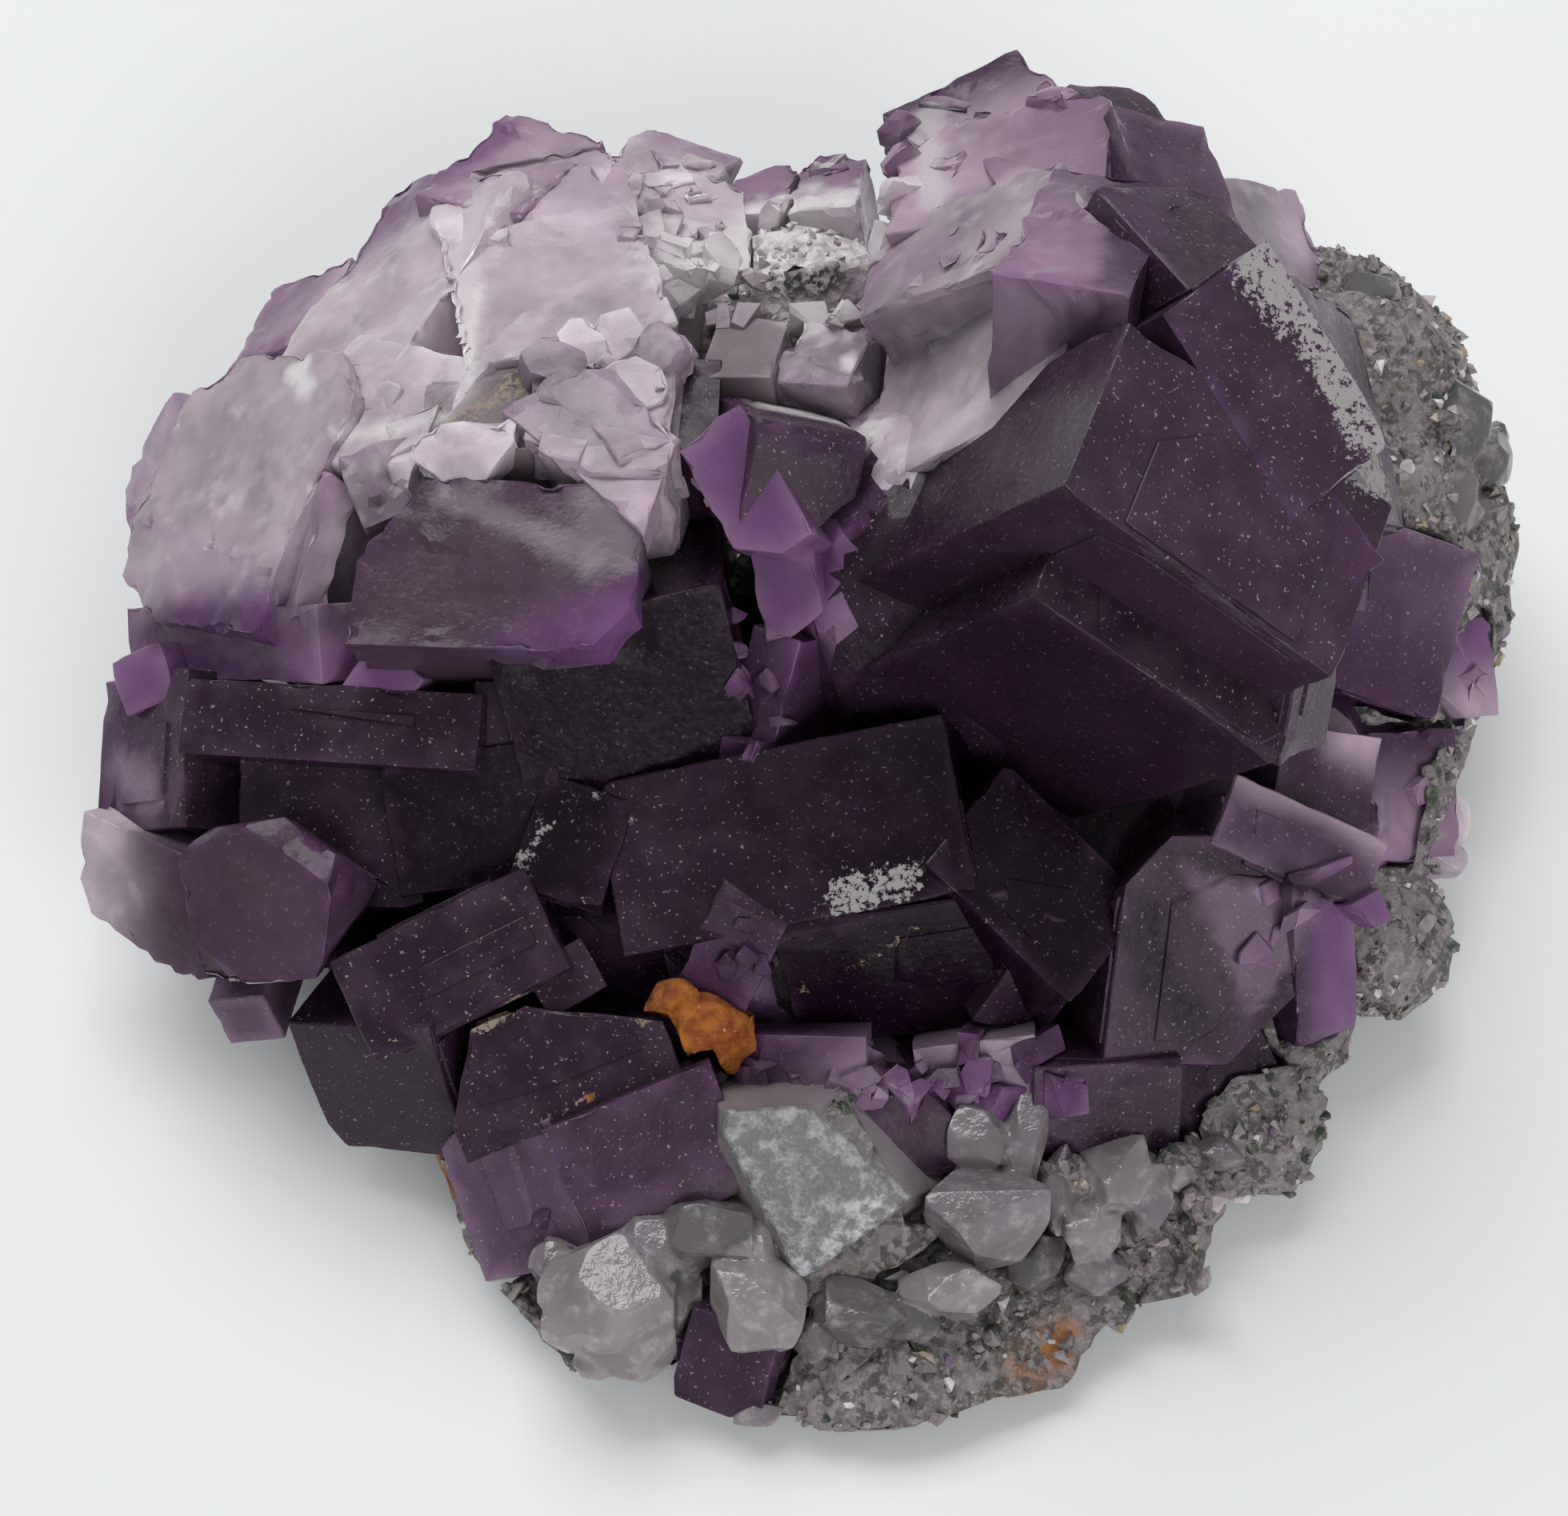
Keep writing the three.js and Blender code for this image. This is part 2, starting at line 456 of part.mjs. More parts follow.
const fluoriteLook = new THREE.MeshStandardMaterial({ color: 0x4a2f5c, roughness: 0.35, metalness: 0 });
const matrixLook = new THREE.MeshStandardMaterial({ color: 0x9a9a98, roughness: 0.7, metalness: 0 });
const clayLook = new THREE.MeshStandardMaterial({ color: 0xb4642a, roughness: 0.95, metalness: 0 });

const group = new THREE.Group();
group.add(toMesh('fluorite_crystals', fluorite, fluoriteLook));
group.add(toMesh('quartz_matrix', matrix, matrixLook));
group.add(toMesh('iron_clay', clay, clayLook));

const box = new THREE.Box3().setFromObject(group);
const middle = box.getCenter(new THREE.Vector3());
group.position.set(-middle.x, -middle.y, -box.min.z);

export default group;
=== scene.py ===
# The finish of a purple fluorite cluster on granular quartz rock, with its floor, light and camera.
# Lists of sizes are in millimetres, as the solids were drawn; everything in the scene is in metres.
import math
import random

import bmesh
import bpy
import numpy as np
from mathutils import Matrix, Vector, noise
from mathutils.bvhtree import BVHTree
from mathutils.kdtree import KDTree


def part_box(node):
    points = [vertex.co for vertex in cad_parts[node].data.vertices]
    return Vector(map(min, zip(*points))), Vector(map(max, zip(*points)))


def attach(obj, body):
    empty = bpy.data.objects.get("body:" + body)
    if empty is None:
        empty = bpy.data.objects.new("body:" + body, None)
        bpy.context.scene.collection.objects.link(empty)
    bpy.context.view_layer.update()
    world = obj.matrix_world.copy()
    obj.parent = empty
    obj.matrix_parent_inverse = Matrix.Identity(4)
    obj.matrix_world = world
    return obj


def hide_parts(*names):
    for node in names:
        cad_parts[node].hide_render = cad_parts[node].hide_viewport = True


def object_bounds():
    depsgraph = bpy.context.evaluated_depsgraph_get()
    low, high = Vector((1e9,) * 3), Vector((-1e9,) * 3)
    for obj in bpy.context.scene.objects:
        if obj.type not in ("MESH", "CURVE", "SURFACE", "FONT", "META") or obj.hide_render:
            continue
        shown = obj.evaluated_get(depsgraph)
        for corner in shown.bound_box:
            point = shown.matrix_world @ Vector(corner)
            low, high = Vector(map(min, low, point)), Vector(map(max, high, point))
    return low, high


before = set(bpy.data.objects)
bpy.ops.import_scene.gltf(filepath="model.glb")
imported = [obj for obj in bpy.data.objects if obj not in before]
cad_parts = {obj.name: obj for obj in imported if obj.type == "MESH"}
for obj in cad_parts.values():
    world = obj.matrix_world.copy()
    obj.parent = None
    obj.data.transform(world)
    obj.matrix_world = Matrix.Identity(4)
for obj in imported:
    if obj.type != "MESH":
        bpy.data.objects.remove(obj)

CAD_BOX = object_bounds()
MM = 0.001
BODY = "root"

# The crystals, as the solids have them: the middle of the face a crystal shows, the direction it
# looks, its width, height and depth, and its turn in its own plane. Then its tone, and a second
# tone that it fades to: a direction in the face, and where the fade starts and ends from -1 to 1.
# Face corners were read off the photo; measuring scripts turned most of them into these places.
MAIN_LOOKS = (-0.37, -0.92, -0.1)
MAIN_SPIN = -30
FOOT = 1.2  # lowest fluorite


def crystal(at, looks, size, spin, tone, fade=None, trims=()):
    return {"at": at, "looks": looks, "size": size, "spin": spin, "tone": tone, "fade": fade, "trims": trims}


CRYSTALS = {
    # The big stepped crystal: two layers grown in parallel
    "frontLayer": crystal((9.3, -0.8, 15.7), MAIN_LOOKS, (11.5, 16.3, 10), MAIN_SPIN, "deep"),
    "backLayer": crystal((10.1, 0.5, 19.6), MAIN_LOOKS, (12.3, 17, 7.4), MAIN_SPIN,
        "deep", ("dusk", 90, -1, 1.4)),
    # Dark cubes
    "lowerRoof": crystal((-0.1, -3.9, 12.8), (-0.2, -0.37, 0.91), (14, 6.9, 8), 10,
        "ink", ("deep", 180, -0.8, 1.2)),
    "lowerRight": crystal((9.8, -5.6, 12.1), (0.37, -0.27, 0.89), (7.9, 5.5, 8), -40, "ink"),
    "lowerFront": crystal((4.6, -8, 9), (0.02, -0.93, 0.37), (9.2, 6.8, 8), 11, "ink"),
    "lowerCorner": crystal((10.2, -8.1, 8.8), (0.3, -0.88, 0.36), (3.6, 5.6, 7), -30, "deep"),
    "sideTablet": crystal((-8.3, -3.6, 11.6), (-0.05, -0.4, 0.92), (3.8, 4.6, 6), -19, "ink"),
    "lowSlab": crystal((-8.9, -11.4, 8.3), (0.02, -0.45, 0.89), (9, 4.8, 6), 22, "deep",
        trims=((150, 3.4, 5), (62, 2, 8))),
    "lowLeft": crystal((-12.9, -8.2, 10.2), (-0.01, -0.44, 0.9), (8.4, 4.4, 8), 26, "deep"),
    "lowLeftSide": crystal((-16, -11.6, 5.8), (-0.33, -0.85, 0.41), (6.5, 6.4, 8), 12, "deep",
        trims=((-135, 4, 10),)),
    "bottomBlock": crystal((-5.1, -14.8, 6.9), (0.03, -0.55, 0.84), (6.9, 5.2, 6), 22,
        "dusk", ("smoky", -50, 0.2, 1)),
    "bottomLeft": crystal((-10.4, -15.8, 4.9), (-0.3, -0.61, 0.73), (5, 6, 5), 20, "haze"),
    "leftBand": crystal((-17.8, 0.5, 13.8), (-0.16, -0.35, 0.92), (12.2, 3, 8), -5, "deep"),
    "leftEnd": crystal((-26.4, 1.7, 9.5), (-0.64, -0.27, 0.72), (5.9, 6.6, 7), -1,
        "violet", ("dusk", 0, -0.4, 0.8)),
    "leftHollow": crystal((-12.1, -2.5, 11.6), (-0.01, -0.65, 0.76), (7, 5.5, 8), 8, "ink"),
    "leftWall": crystal((-6.1, 0.9, 15.2), (0.1, -0.82, 0.56), (9.5, 7.4, 8), 11, "ink"),
    "leftStep": crystal((-18, -2.2, 10.6), (-0.09, -0.52, 0.85), (7.6, 6.7, 8), -1, "deep"),
    "leftSpur": crystal((-10.4, 0.4, 13.8), (0.03, -0.61, 0.79), (3.2, 3.6, 6), 3, "deep"),
    "lowGap": crystal((-8.5, -8.3, 9.2), (0.15, -0.43, 0.89), (2.6, 2.2, 5), 30, "deep"),
    "rightDark": crystal((17.2, 5.8, 28.2), (0.3, -0.42, 0.85), (5, 8.4, 9), 36, "dusk"),
    "rightLedge": crystal((16.6, 2, 26.3), (0.3, -0.42, 0.85), (5, 9, 8), 40,
        "dusk", ("violet", -60, 0.2, 1)),
    "rightFrosted": crystal((21.4, 9.6, 22), (0.84, -0.04, 0.54), (9.5, 9, 8), 24, "dusk",
        trims=((45, 5.6, 20),)),
    "upperDark": crystal((15.5, 18, 25), (0.35, 0.16, 0.92), (4.3, 9, 10), 8, "haze"),
    "upperDarkLow": crystal((15.1, 12.4, 28), (0.32, 0.25, 0.91), (5.3, 6.8, 10), 30, "dusk"),
    # Purple crystals
    "zoned": crystal((17.4, -7.1, 9), (0.25, -0.66, 0.71), (9.4, 9.4, 7), -5, "dusk",
        trims=((-42, 3.6, 8), (140, 5, 20))),
    "zonedTop": crystal((20.2, -3.6, 11.6), (0.24, -0.41, 0.88), (7, 3, 5), -22,
        "haze", ("lilac", 90, 0.3, 1)),
    "zonedSide": crystal((21.5, -6.7, 8.1), (0.42, -0.71, 0.56), (2.9, 7.8, 5), 8,
        "bright", ("violet", 180, -0.2, 1)),
    "rightBlock": crystal((25.2, 6.4, 12.4), (0.39, -0.56, 0.73), (6.4, 7.2, 8), -16,
        "haze", ("violet", -90, -0.3, 0.9)),
    "rightChip": crystal((29, 6.6, 8.3), (0.37, -0.46, 0.8), (3.4, 4.4, 5), 5, "bright",
        ("lilac", -90, -0.5, 1), trims=((-140, 1.7, 0),)),
    "rightRim": crystal((19.3, -1.3, 20.4), (0.77, -0.54, 0.34), (3.6, 6.5, 3), -7, "dusk"),
    "rightStrip": crystal((22, 6.4, 17.4), (0.8, -0.4, 0.45), (5.4, 5, 6), -7,
        "dusk", ("violet", -60, -0.2, 1)),
    "farRight": crystal((30.3, 9, 7.8), (0.73, -0.22, 0.65), (2.7, 5.1, 6), -54, "mauve"),
    "rimChip": crystal((28.7, 0.9, 4.4), (0.64, -0.22, 0.74), (2, 3.4, 4), -14, "pale"),
    "rightLow": crystal((26.3, 0.9, 7.4), (0.53, -0.44, 0.73), (5.4, 5.4, 5), 1,
        "mauve", ("violet", 90, -0.6, 0.9)),
    "rightClear": crystal((21.7, -0.6, 10.8), (0.5, -0.55, 0.67), (5.3, 4.4, 6), -10,
        "dusk", ("lilac", 60, 0.2, 1)),
    "topFace": crystal((8.6, 20.8, 23.5), (-0.3, 0.14, 0.94), (8.8, 6.7, 10), -8, "mauve",
        ("lilac", 180, -0.6, 0.6), trims=((150, 4.3, 20),)),
    "topCrown": crystal((8.2, 27, 20.6), (-0.18, 0.2, 0.96), (7, 4.8, 7), 30, "lilac",
        ("violet", 80, -0.4, 0.9), trims=((45, 3.8, 25),)),
    "topKnob": crystal((14.4, 27.8, 19.8), (0.25, 0.29, 0.92), (4.2, 3.6, 6), 20, "dusk",
        ("violet", 90, -0.2, 1), trims=((40, 2.1, 20), (130, 2.3, 20))),
    "topRight": crystal((11.1, 12.8, 28.2), (-0.03, 0.3, 0.95), (4.9, 8.2, 9), -20, "mauve",
        ("violet", 40, -0.3, 0.9), trims=((45, 4, 20),)),
    "topMiddle": crystal((6.6, 15.9, 24.2), (-0.59, 0.2, 0.78), (8.5, 5.3, 9), -20,
        "grey", ("mauve", 180, 0.2, 1)),
    "knobLeft": crystal((-1.1, 27.7, 15), (-0.28, 0.24, 0.93), (3, 3.8, 6), -19, "mauve",
        ("white", -90, 0.4, 1), trims=((45, 1.9, 20), (135, 1.9, 20))),
    "knobRight": crystal((2, 27.4, 15.8), (-0.17, 0.27, 0.95), (3, 4.6, 6), -8, "mauve",
        ("white", -90, 0.2, 1), trims=((120, 2, 15),)),
    "smallCentre": crystal((-2.1, -7.8, 10.2), (-0.3, -0.8, 0.5), (3, 4.5, 4), -22,
        "violet", ("dusk", 90, -0.2, 1)),
    "hangingHigh": crystal((0.1, 4.2, 17.6), (-0.37, -0.54, 0.76), (2.6, 3.6, 5), 9, "bright",
        trims=((-60, 1.5, 10),)),
    "hangingMid": crystal((-0.8, 1.6, 14.8), (-0.53, -0.52, 0.67), (2.2, 4.4, 5), -16, "violet",
        ("violet", -90, -0.5, 1), trims=((-130, 1.9, 0),)),
    "hangingLow": crystal((-1.9, -0.7, 12.5), (-0.26, -0.84, 0.47), (1.5, 2.4, 5), -8, "violet"),
    "druseLeft": crystal((0.9, -11.3, 6.8), (-0.13, -0.65, 0.75), (4.7, 3.1, 4), 1,
        "violet", ("mauve", -60, -0.6, 0.8)),
    "druseRight": crystal((7.6, -11.2, 6.9), (-0.07, -0.64, 0.76), (4.9, 2.4, 4), 9,
        "violet", ("lilac", 60, -0.6, 0.8)),
    "leftRounded": crystal((-20.4, -6, 11), (-0.35, -0.55, 0.76), (6.6, 6.2, 6), 10, "smoky",
        ("violet", 30, 0.4, 1), trims=((50, 3.3, 20), (-40, 3.4, 15), (140, 3.7, 15), (-125, 3.9, 10))),
    "leftTip": crystal((-26, -3.9, 7.4), (-0.5, -0.58, 0.64), (7.4, 5, 4), -12, "smoky",
        ("pale", 180, -0.4, 1), trims=((-150, 3.4, 10), (-100, 2.3, 0))),
    "leftKnob": crystal((-21.6, -8.6, 5.8), (-0.06, -0.94, 0.32), (2.4, 2.6, 6), 12, "haze"),
    "footLeft": crystal((-7.4, -19.4, 3), (-0.3, -0.7, 0.65), (5.4, 4, 9), -20, "smoky",
        ("mist", 60, -0.6, 0.8), trims=((-110, 1.9, 10),)),
    "footRight": crystal((-2.2, -21.8, 3), (-0.28, -0.66, 0.69), (3.8, 4, 10), -14, "dusk",
        ("dusk", -90, -0.5, 1), trims=((-60, 2, 10),)),
    # The pale broken side
    "middleSlope": crystal((7.1, 11.6, 23.2), (-0.78, 0.05, 0.62), (11, 9, 9), -14, "mist",
        ("pale", -100, -0.6, 0.6), trims=((135, 6.4, 10),)),
    "midCrystal": crystal((1.7, 14.8, 19.2), (-0.28, 0.17, 0.94), (3.4, 4, 8), -23, "mist"),
    "midCrystalLeft": crystal((-1.6, 15.3, 18.8), (-0.15, 0.23, 0.96), (3, 4, 8), -11, "fog"),
    "topPlane": crystal((-10.2, 21.8, 17.6), (-0.08, 0.19, 0.98), (8.6, 14, 9), 13, "pale",
        ("lilac", 50, -0.2, 1), trims=((135, 7, 25), (40, 7, 20))),
    "topPoint": crystal((-12.1, 28, 16.2), (-0.09, 0.27, 0.96), (7.3, 5.5, 7), 61,
        "lilac", ("mauve", 90, -0.2, 1)),
    "topPlaneLow": crystal((-11.9, 11.7, 19.2), (-0.19, 0.1, 0.98), (5, 5, 8), 2, "fog"),
    "topPlaneLeft": crystal((-17, 22, 15.4), (-0.5, 0.16, 0.85), (8.4, 12.7, 9), -29, "pale",
        ("bright", 125, 0.1, 1), trims=((130, 6.6, 20),)),
    "middlePlane": crystal((-16.5, 13.5, 17.3), (-0.39, 0.14, 0.91), (8, 6.4, 8), -34, "pale"),
    "backMass": crystal((-4.6, 25, 16), (0.1, 0.28, 0.95), (6, 8, 8), 3, "pale", ("white", -90, -0.2, 0.8),
        trims=((60, 3.6, 30),)),
    "backStep": crystal((-5.3, 30.1, 14.3), (0.18, 0.33, 0.93), (4.8, 5, 7), -27,
        "pale", ("mauve", 90, 0, 1)),
    "leftMass": crystal((-23, 11.8, 14.4), (-0.53, -0.03, 0.85), (10.6, 12.4, 9), -24, "grey",
        ("bright", -80, 0.45, 1), trims=((45, 6.4, 20), (135, 6.6, 10), (-120, 6.6, 10))),
    "leftBase": crystal((-23, 5.2, 12.3), (-0.6, -0.5, 0.63), (12, 3, 6), 3,
        "bright", ("mauve", 90, -1, 1.5)),
    "leftChip": crystal((-15.8, 1.7, 14.6), (-0.17, -0.58, 0.8), (2.4, 2.8, 5), -40, "bright"),
    "smoky": crystal((-10.9, 4.3, 19.2), (-0.13, -0.24, 0.96), (11, 6.8, 8), -5, "smoky",
        ("bright", -60, 0.3, 1), trims=((150, 4.7, 25), (40, 5, 20), (-45, 5.4, 10))),
    "shards": crystal((-7.1, 11.1, 20.4), (-0.04, 0.11, 0.99), (5.8, 7.4, 8), -4, "grey",
        trims=((-130, 3.3, 15), (60, 3.6, 10))),
    "shardDark": crystal((-3.7, 12.2, 19), (0, 0, 1), (2.4, 4.6, 7), 0, "dusk"),
    "pointLeft": crystal((-1.5, 6.8, 20.6), (-0.3, -0.4, 0.87), (3, 6, 7), 30, "bright",
        trims=((-130, 2.3, 0),)),
    "pointRight": crystal((0.7, 6.9, 20.5), (0.25, -0.72, 0.65), (4.4, 4.6, 7), -12, "dusk",
        ("violet", -90, 0.2, 1), trims=((-40, 1.7, 0),)),
    "farLeft": crystal((-27.6, 15.4, 10.4), (-0.77, -0.13, 0.62), (4, 6, 6), -57, "lilac"),
    "leftPoint": crystal((-22.4, 24.2, 10.8), (-0.54, 0.15, 0.83), (5.6, 5, 6), -11,
        "mauve", ("lilac", 0, 0.2, 1)),
    "upperRightPale": crystal((21.2, 23, 17), (0.61, -0.02, 0.79), (6.3, 5, 7), 23,
        "mist", ("lilac", 0, -0.2, 1)),
    "smokyLow": crystal((5, -13.5, 5.8), (-0.04, -0.65, 0.76), (3.2, 3.5, 4), 11, "smoky"),
    "smokyLowRight": crystal((12.7, -12.4, 6), (0.13, -0.72, 0.68), (6, 3.8, 5), 0,
        "deep", ("violet", 150, -0.4, 1)),
    "rightLower": crystal((17.2, -11, 4.6), (0.3, -0.55, 0.78), (6, 5.6, 5), 30, "deep",
        trims=((-60, 2.9, 0),)),
}

# Hidden lumps of massive fluorite that join the crystals: middle and radii
MASS = [
    ((0, 3, 6), (19, 12, 4.5)), ((8, 8, 13), (9.5, 8.5, 8.5)), ((-13, 13, 8), (11.5, 10.5, 7)),
    ((9, 18, 11), (8.5, 7.5, 8.5)), ((20, 3, 6), (6.5, 8.5, 4.6)), ((-4, -11, 3.5), (11.5, 5.5, 2.2)),
    ((-3.5, -17, 2.2), (5, 4.5, 1)),
]

# Tones, as linear colours: base colour of the crystal's body
TONES = {
    "ink": (0.010, 0.002, 0.0095),
    "deep": (0.028, 0.0115, 0.0265),
    "dusk": (0.054, 0.027, 0.050),
    "haze": (0.108, 0.059, 0.110),
    "violet": (0.074, 0.030, 0.078),
    "bright": (0.185, 0.080, 0.210),
    "mauve": (0.36, 0.235, 0.34),
    "lilac": (0.52, 0.38, 0.48),
    "smoky": (0.084, 0.050, 0.074),
    "mist": (0.30, 0.25, 0.29),
    "fog": (0.25, 0.20, 0.215),
    "grey": (0.46, 0.385, 0.425),
    "pale": (0.58, 0.475, 0.54),
    "white": (0.84, 0.79, 0.81),
    "dust": (0.40, 0.38, 0.38),
    "dirt": (0.33, 0.26, 0.19),
    "clay": (0.38, 0.13, 0.02),
}
# For each tone of a crystal: how dusty it is, how broken, and the tone of its rim with the rim's width
SURFACE = {
    "ink": (0.2, 0.0, "dusk", 0.10),
    "deep": (0.6, 0.0, "dusk", 0.2),
    "dusk": (0.6, 0.1, "violet", 0.4),
    "haze": (0.5, 0.1, "mauve", 0.3),
    "violet": (0.3, 0.15, "bright", 0.4),
    "bright": (0.1, 0.35, "mauve", 0.35),
    "mauve": (0.1, 0.6, "bright", 0.6),
    "lilac": (0.1, 0.7, "bright", 0.5),
    "smoky": (0.2, 0.5, "violet", 0.8),
    "fog": (0.3, 0.3, "mist", 0.3),
    "mist": (0.2, 0.8, "lilac", 0.5),
    "grey": (0.1, 0.9, "lilac", 0.5),
    "pale": (0.05, 1.0, "white", 0.3),
    "white": (0.0, 1.0, "pale", 0.3),
}
DUST, BROKEN = ({tone: row[k] for tone, row in SURFACE.items()} for k in (0, 1))
RIM = {tone: row[2:] for tone, row in SURFACE.items()}

# Stains, dust and clear streaks, and one band of painted light: a path over the surface, its reach, the tone
# and its strength.
# Marks were picked on the photo, and a measuring script gave the places of nearly half of the points.
STREAKS = [
    # Dust on the dark crystals
    (((1.9, -6.5, 12.2), (3.2, -6.0, 12.6), (4.6, -5.8, 12.9)), 1.1, "dust", 0.75),
    (((0.6, -8.4, 8.2), (3.1, -7.7, 9.7), (5.8, -6.9, 11.6)), 0.3, "dirt", 0.6),
    (((4.6, -6.7, 12.2), (7.6, -7.4, 12.5), (10.7, -8.3, 10.9)), 0.25, "dust", 0.4),
    (((-10.4, -6.0, 11.2), (-10.4, -4.2, 11.2), (-8.8, -2.5, 12.1), (-6.4, -1.6, 12.5)), 0.45, "dust", 0.6),
    (((-7.9, -5.8, 10.6), (-6.9, -4.4, 11.3), (-5.8, -2.1, 12.3)), 0.18, "dust", 0.6),
    (((-12.8, -11.0, 8.6), (-10.5, -9.4, 9.3), (-8.7, -9.0, 9.5), (-7.0, -9.1, 9.4), (-5.4, -9.9, 9)),
        0.4, "dirt", 0.8),
    (((-10.5, -13.8, 7.1), (-6.8, -12.5, 7.7), (-4.6, -11.6, 7.9)), 0.2, "dust", 0.5),
    (((-4.6, -10.6, 7.4), (-2.5, -10.8, 6.4)), 0.5, "dirt", 0.7),
    (((-0.5, -9.8, 7.6), (2.5, -9.9, 7.9), (6.3, -9.3, 7.4), (10.2, -8.9, 6.8)), 0.25, "dirt", 0.5),
    (((9.7, 2.7, 29.4), (9.7, 2.4, 29.5)), 0.3, "dust", 0.9),
    (((9.6, 1.2, 30.1), (9.6, 0.9, 30.0)), 0.35, "dust", 0.7),
    (((7.9, -0.4, 24.4), (11.8, -2.6, 22.9), (16.4, -4.1, 19.8)), 0.7, "dust", 0.16),
    (((-11.1, -9.6, 9.3), (-11.0, -9.5, 9.3)), 0.25, "clay", 1.0),
    (((-7.4, -12.6, 7.6), (-7.3, -12.5, 7.6)), 0.3, "clay", 1.0),
    (((-27.5, 2.6, 9.6), (-27.6, 2.3, 9.2)), 0.4, "clay", 0.8),
    # Cracks and clear bands in the pale side, and one white band that is painted light
    (((-13.4, 24.6, 17.0), (-13.5, 19.3, 17.8), (-12.9, 13.3, 18.9)), 1.0, "white", 0.6),
    (((-12.8, 19.8, 17.8), (-12.9, 16.7, 18.4), (-12.6, 13.2, 19.0)), 0.25, "white", 1.0),
    (((-13.3, 11.6, 18.9), (-15.3, 11.5, 18.1), (-17.8, 12.1, 17.3)), 0.6, "white", 0.8),
    (((-20.3, 16.1, 16.3), (-19.7, 15.0, 16.6)), 0.9, "white", 1.0),
    (((-12.9, 7.2, 19.7), (-9.7, 5.6, 19.7), (-7.2, 4.2, 19.7)), 0.7, "mist", 0.6),
    (((-8.7, 8.4, 19.1), (-7.0, 6.4, 20.0), (-6.2, 4.6, 19.6)), 1.6, "mist", 0.6),
    (((7.4, 8.5, 23.8), (5.5, 8.1, 21.4), (3.7, 8.7, 19.2)), 0.8, "white", 0.35),
    (((3.8, 13.9, 21.6), (6.2, 12.3, 22.0)), 2.4, "mist", 0.6),
    (((-4.1, 21.4, 16.6), (-2.7, 21.0, 15.4), (0.4, 24.4, 15.6), (2.8, 24.7, 15.0)), 3.4, "white", 0.9),
    (((-2.0, 20.0, 16.6), (1.0, 17.6, 18.4), (4.0, 18.6, 20.4)), 2.2, "white", 0.9),
    # Painted light: a white band on the middle crystal's front, which lies in shade between it and the right
    # point
    (((-0.5, 12.2, 19.3), (1.6, 11.4, 19.2), (3.3, 10.2, 19.4)), 1.4, "white", 0.9),
    (((6.3, 27.0, 20.2), (5.8, 22.0, 22.4), (6.0, 19.1, 22.9)), 0.9, "white", 0.55),
    (((14.2, 20.0, 25.1), (13.0, 13.7, 28.3), (12.4, 9.9, 29.2), (10.3, 8.3, 27.2)), 1.5, "violet", 0.8),
    (((5.3, 15.6, 23.3), (6.8, 16.4, 24.2)), 1.6, "bright", 0.3),
    (((-27.5, 1.6, 8.5), (-25.7, -0.4, 9.3)), 1.2, "mauve", 0.7),
    (((13.6, -6.6, 10.8), (14.7, -8.3, 8.8), (17.6, -10.2, 5.4)), 1.3, "ink", 0.7),
    # Purple zones and soiled pockets of the pale side
    (((-14.9, 28.6, 15.4), (-14.1, 29.6, 15.6), (-12.8, 31.0, 15.2)), 1.5, "bright", 0.7),
    (((-17.6, 27.2, 14.4), (-16.4, 26.6, 15.2), (-14.4, 27.4, 16.0)), 1.2, "bright", 0.35),
    (((-26.0, 6.4, 10.8), (-23.6, 5.8, 12.6), (-19.0, 4.4, 14.8)), 1.8, "violet", 0.6),
    (((-24.8, 17.1, 13.5), (-21.7, 15.0, 15.3), (-18.8, 12.1, 17.0)), 0.22, "dirt", 0.35),
    (((-13.0, 11.3, 18.8), (-11.4, 12.2, 19.2), (-10.3, 13.4, 19.4)), 0.9, "dirt", 0.75),
    (((-10.6, 13.4, 19.4), (-10.4, 14.0, 19.3)), 0.5, "deep", 0.9),
    (((-5.5, 15.8, 18.9), (-4.6, 15.6, 19.4), (-5.1, 13.9, 20.2)), 0.9, "dirt", 0.5),
    (((0.7, 16.2, 18.6), (1.3, 14.3, 19.2)), 0.7, "dirt", 0.4),
    (((2.6, 14.1, 19.6), (2.6, 13.6, 19.6)), 0.35, "white", 1.0),
    # The frosted side of the tall crystal at the right
    (((16.4, 9.6, 30.2), (18.7, 7.5, 28.5), (19.9, 5.9, 27.2), (20.9, 4.4, 25.6)), 1.9, "dust", 0.8),
    (((19.6, 6.4, 26.6), (21.8, 7.6, 23.4), (23.4, 8.2, 19.6)), 2.2, "dust", 0.8),
]
# Facets of another tone, and marks of painted shade and light: corners of a flat polygon, the tone and its
# strength
FACETS = [
    (((15.7, -4.9, 11.7), (21.2, -5.4, 10.4), (18.7, -9.4, 6.6)), "mauve", 0.45),
    # Painted shadow: a dark strip along the top edge of the zoned crystal's triangle, under its thin ledge
    (((15.9, -4.9, 11.9), (15.4, -4.3, 12.4), (21.6, -4.9, 10.8), (21.4, -5.5, 10.2)), "deep", 0.8),
    # Painted shade and light: two slim facets that the mesh lacks, the darker first one painted as shade, the
    # paler second one painted as lit
    (((-18.6, 9.6, 16.3), (-19.6, 4.6, 15.0), (-18.1, 5.6, 15.6)), "mist", 0.7),
    (((-18.4, 9.6, 16.2), (-17.6, 7.2, 14.6), (-17.9, 4.6, 14.6), (-18.1, 5.6, 15.6)), "pale", 0.7),
]


# Geometry of the crystals

CUT_SLACK = 1e-5  # corners this close to a cut lie on it
BLOCK_WELD = 2e-3  # corners of a block closer than this are one corner
FLAT_ANGLE = math.radians(0.5)  # faces that meet at less than this are one face
BEVEL_PROFILE = 0.6  # how full a bevel is
BROKEN_BLOCK = 0.5  # crystals at least this broken are chipped as broken ones
LARGE = {"broken": 3, "whole": 2.5}  # wider crystals count as large
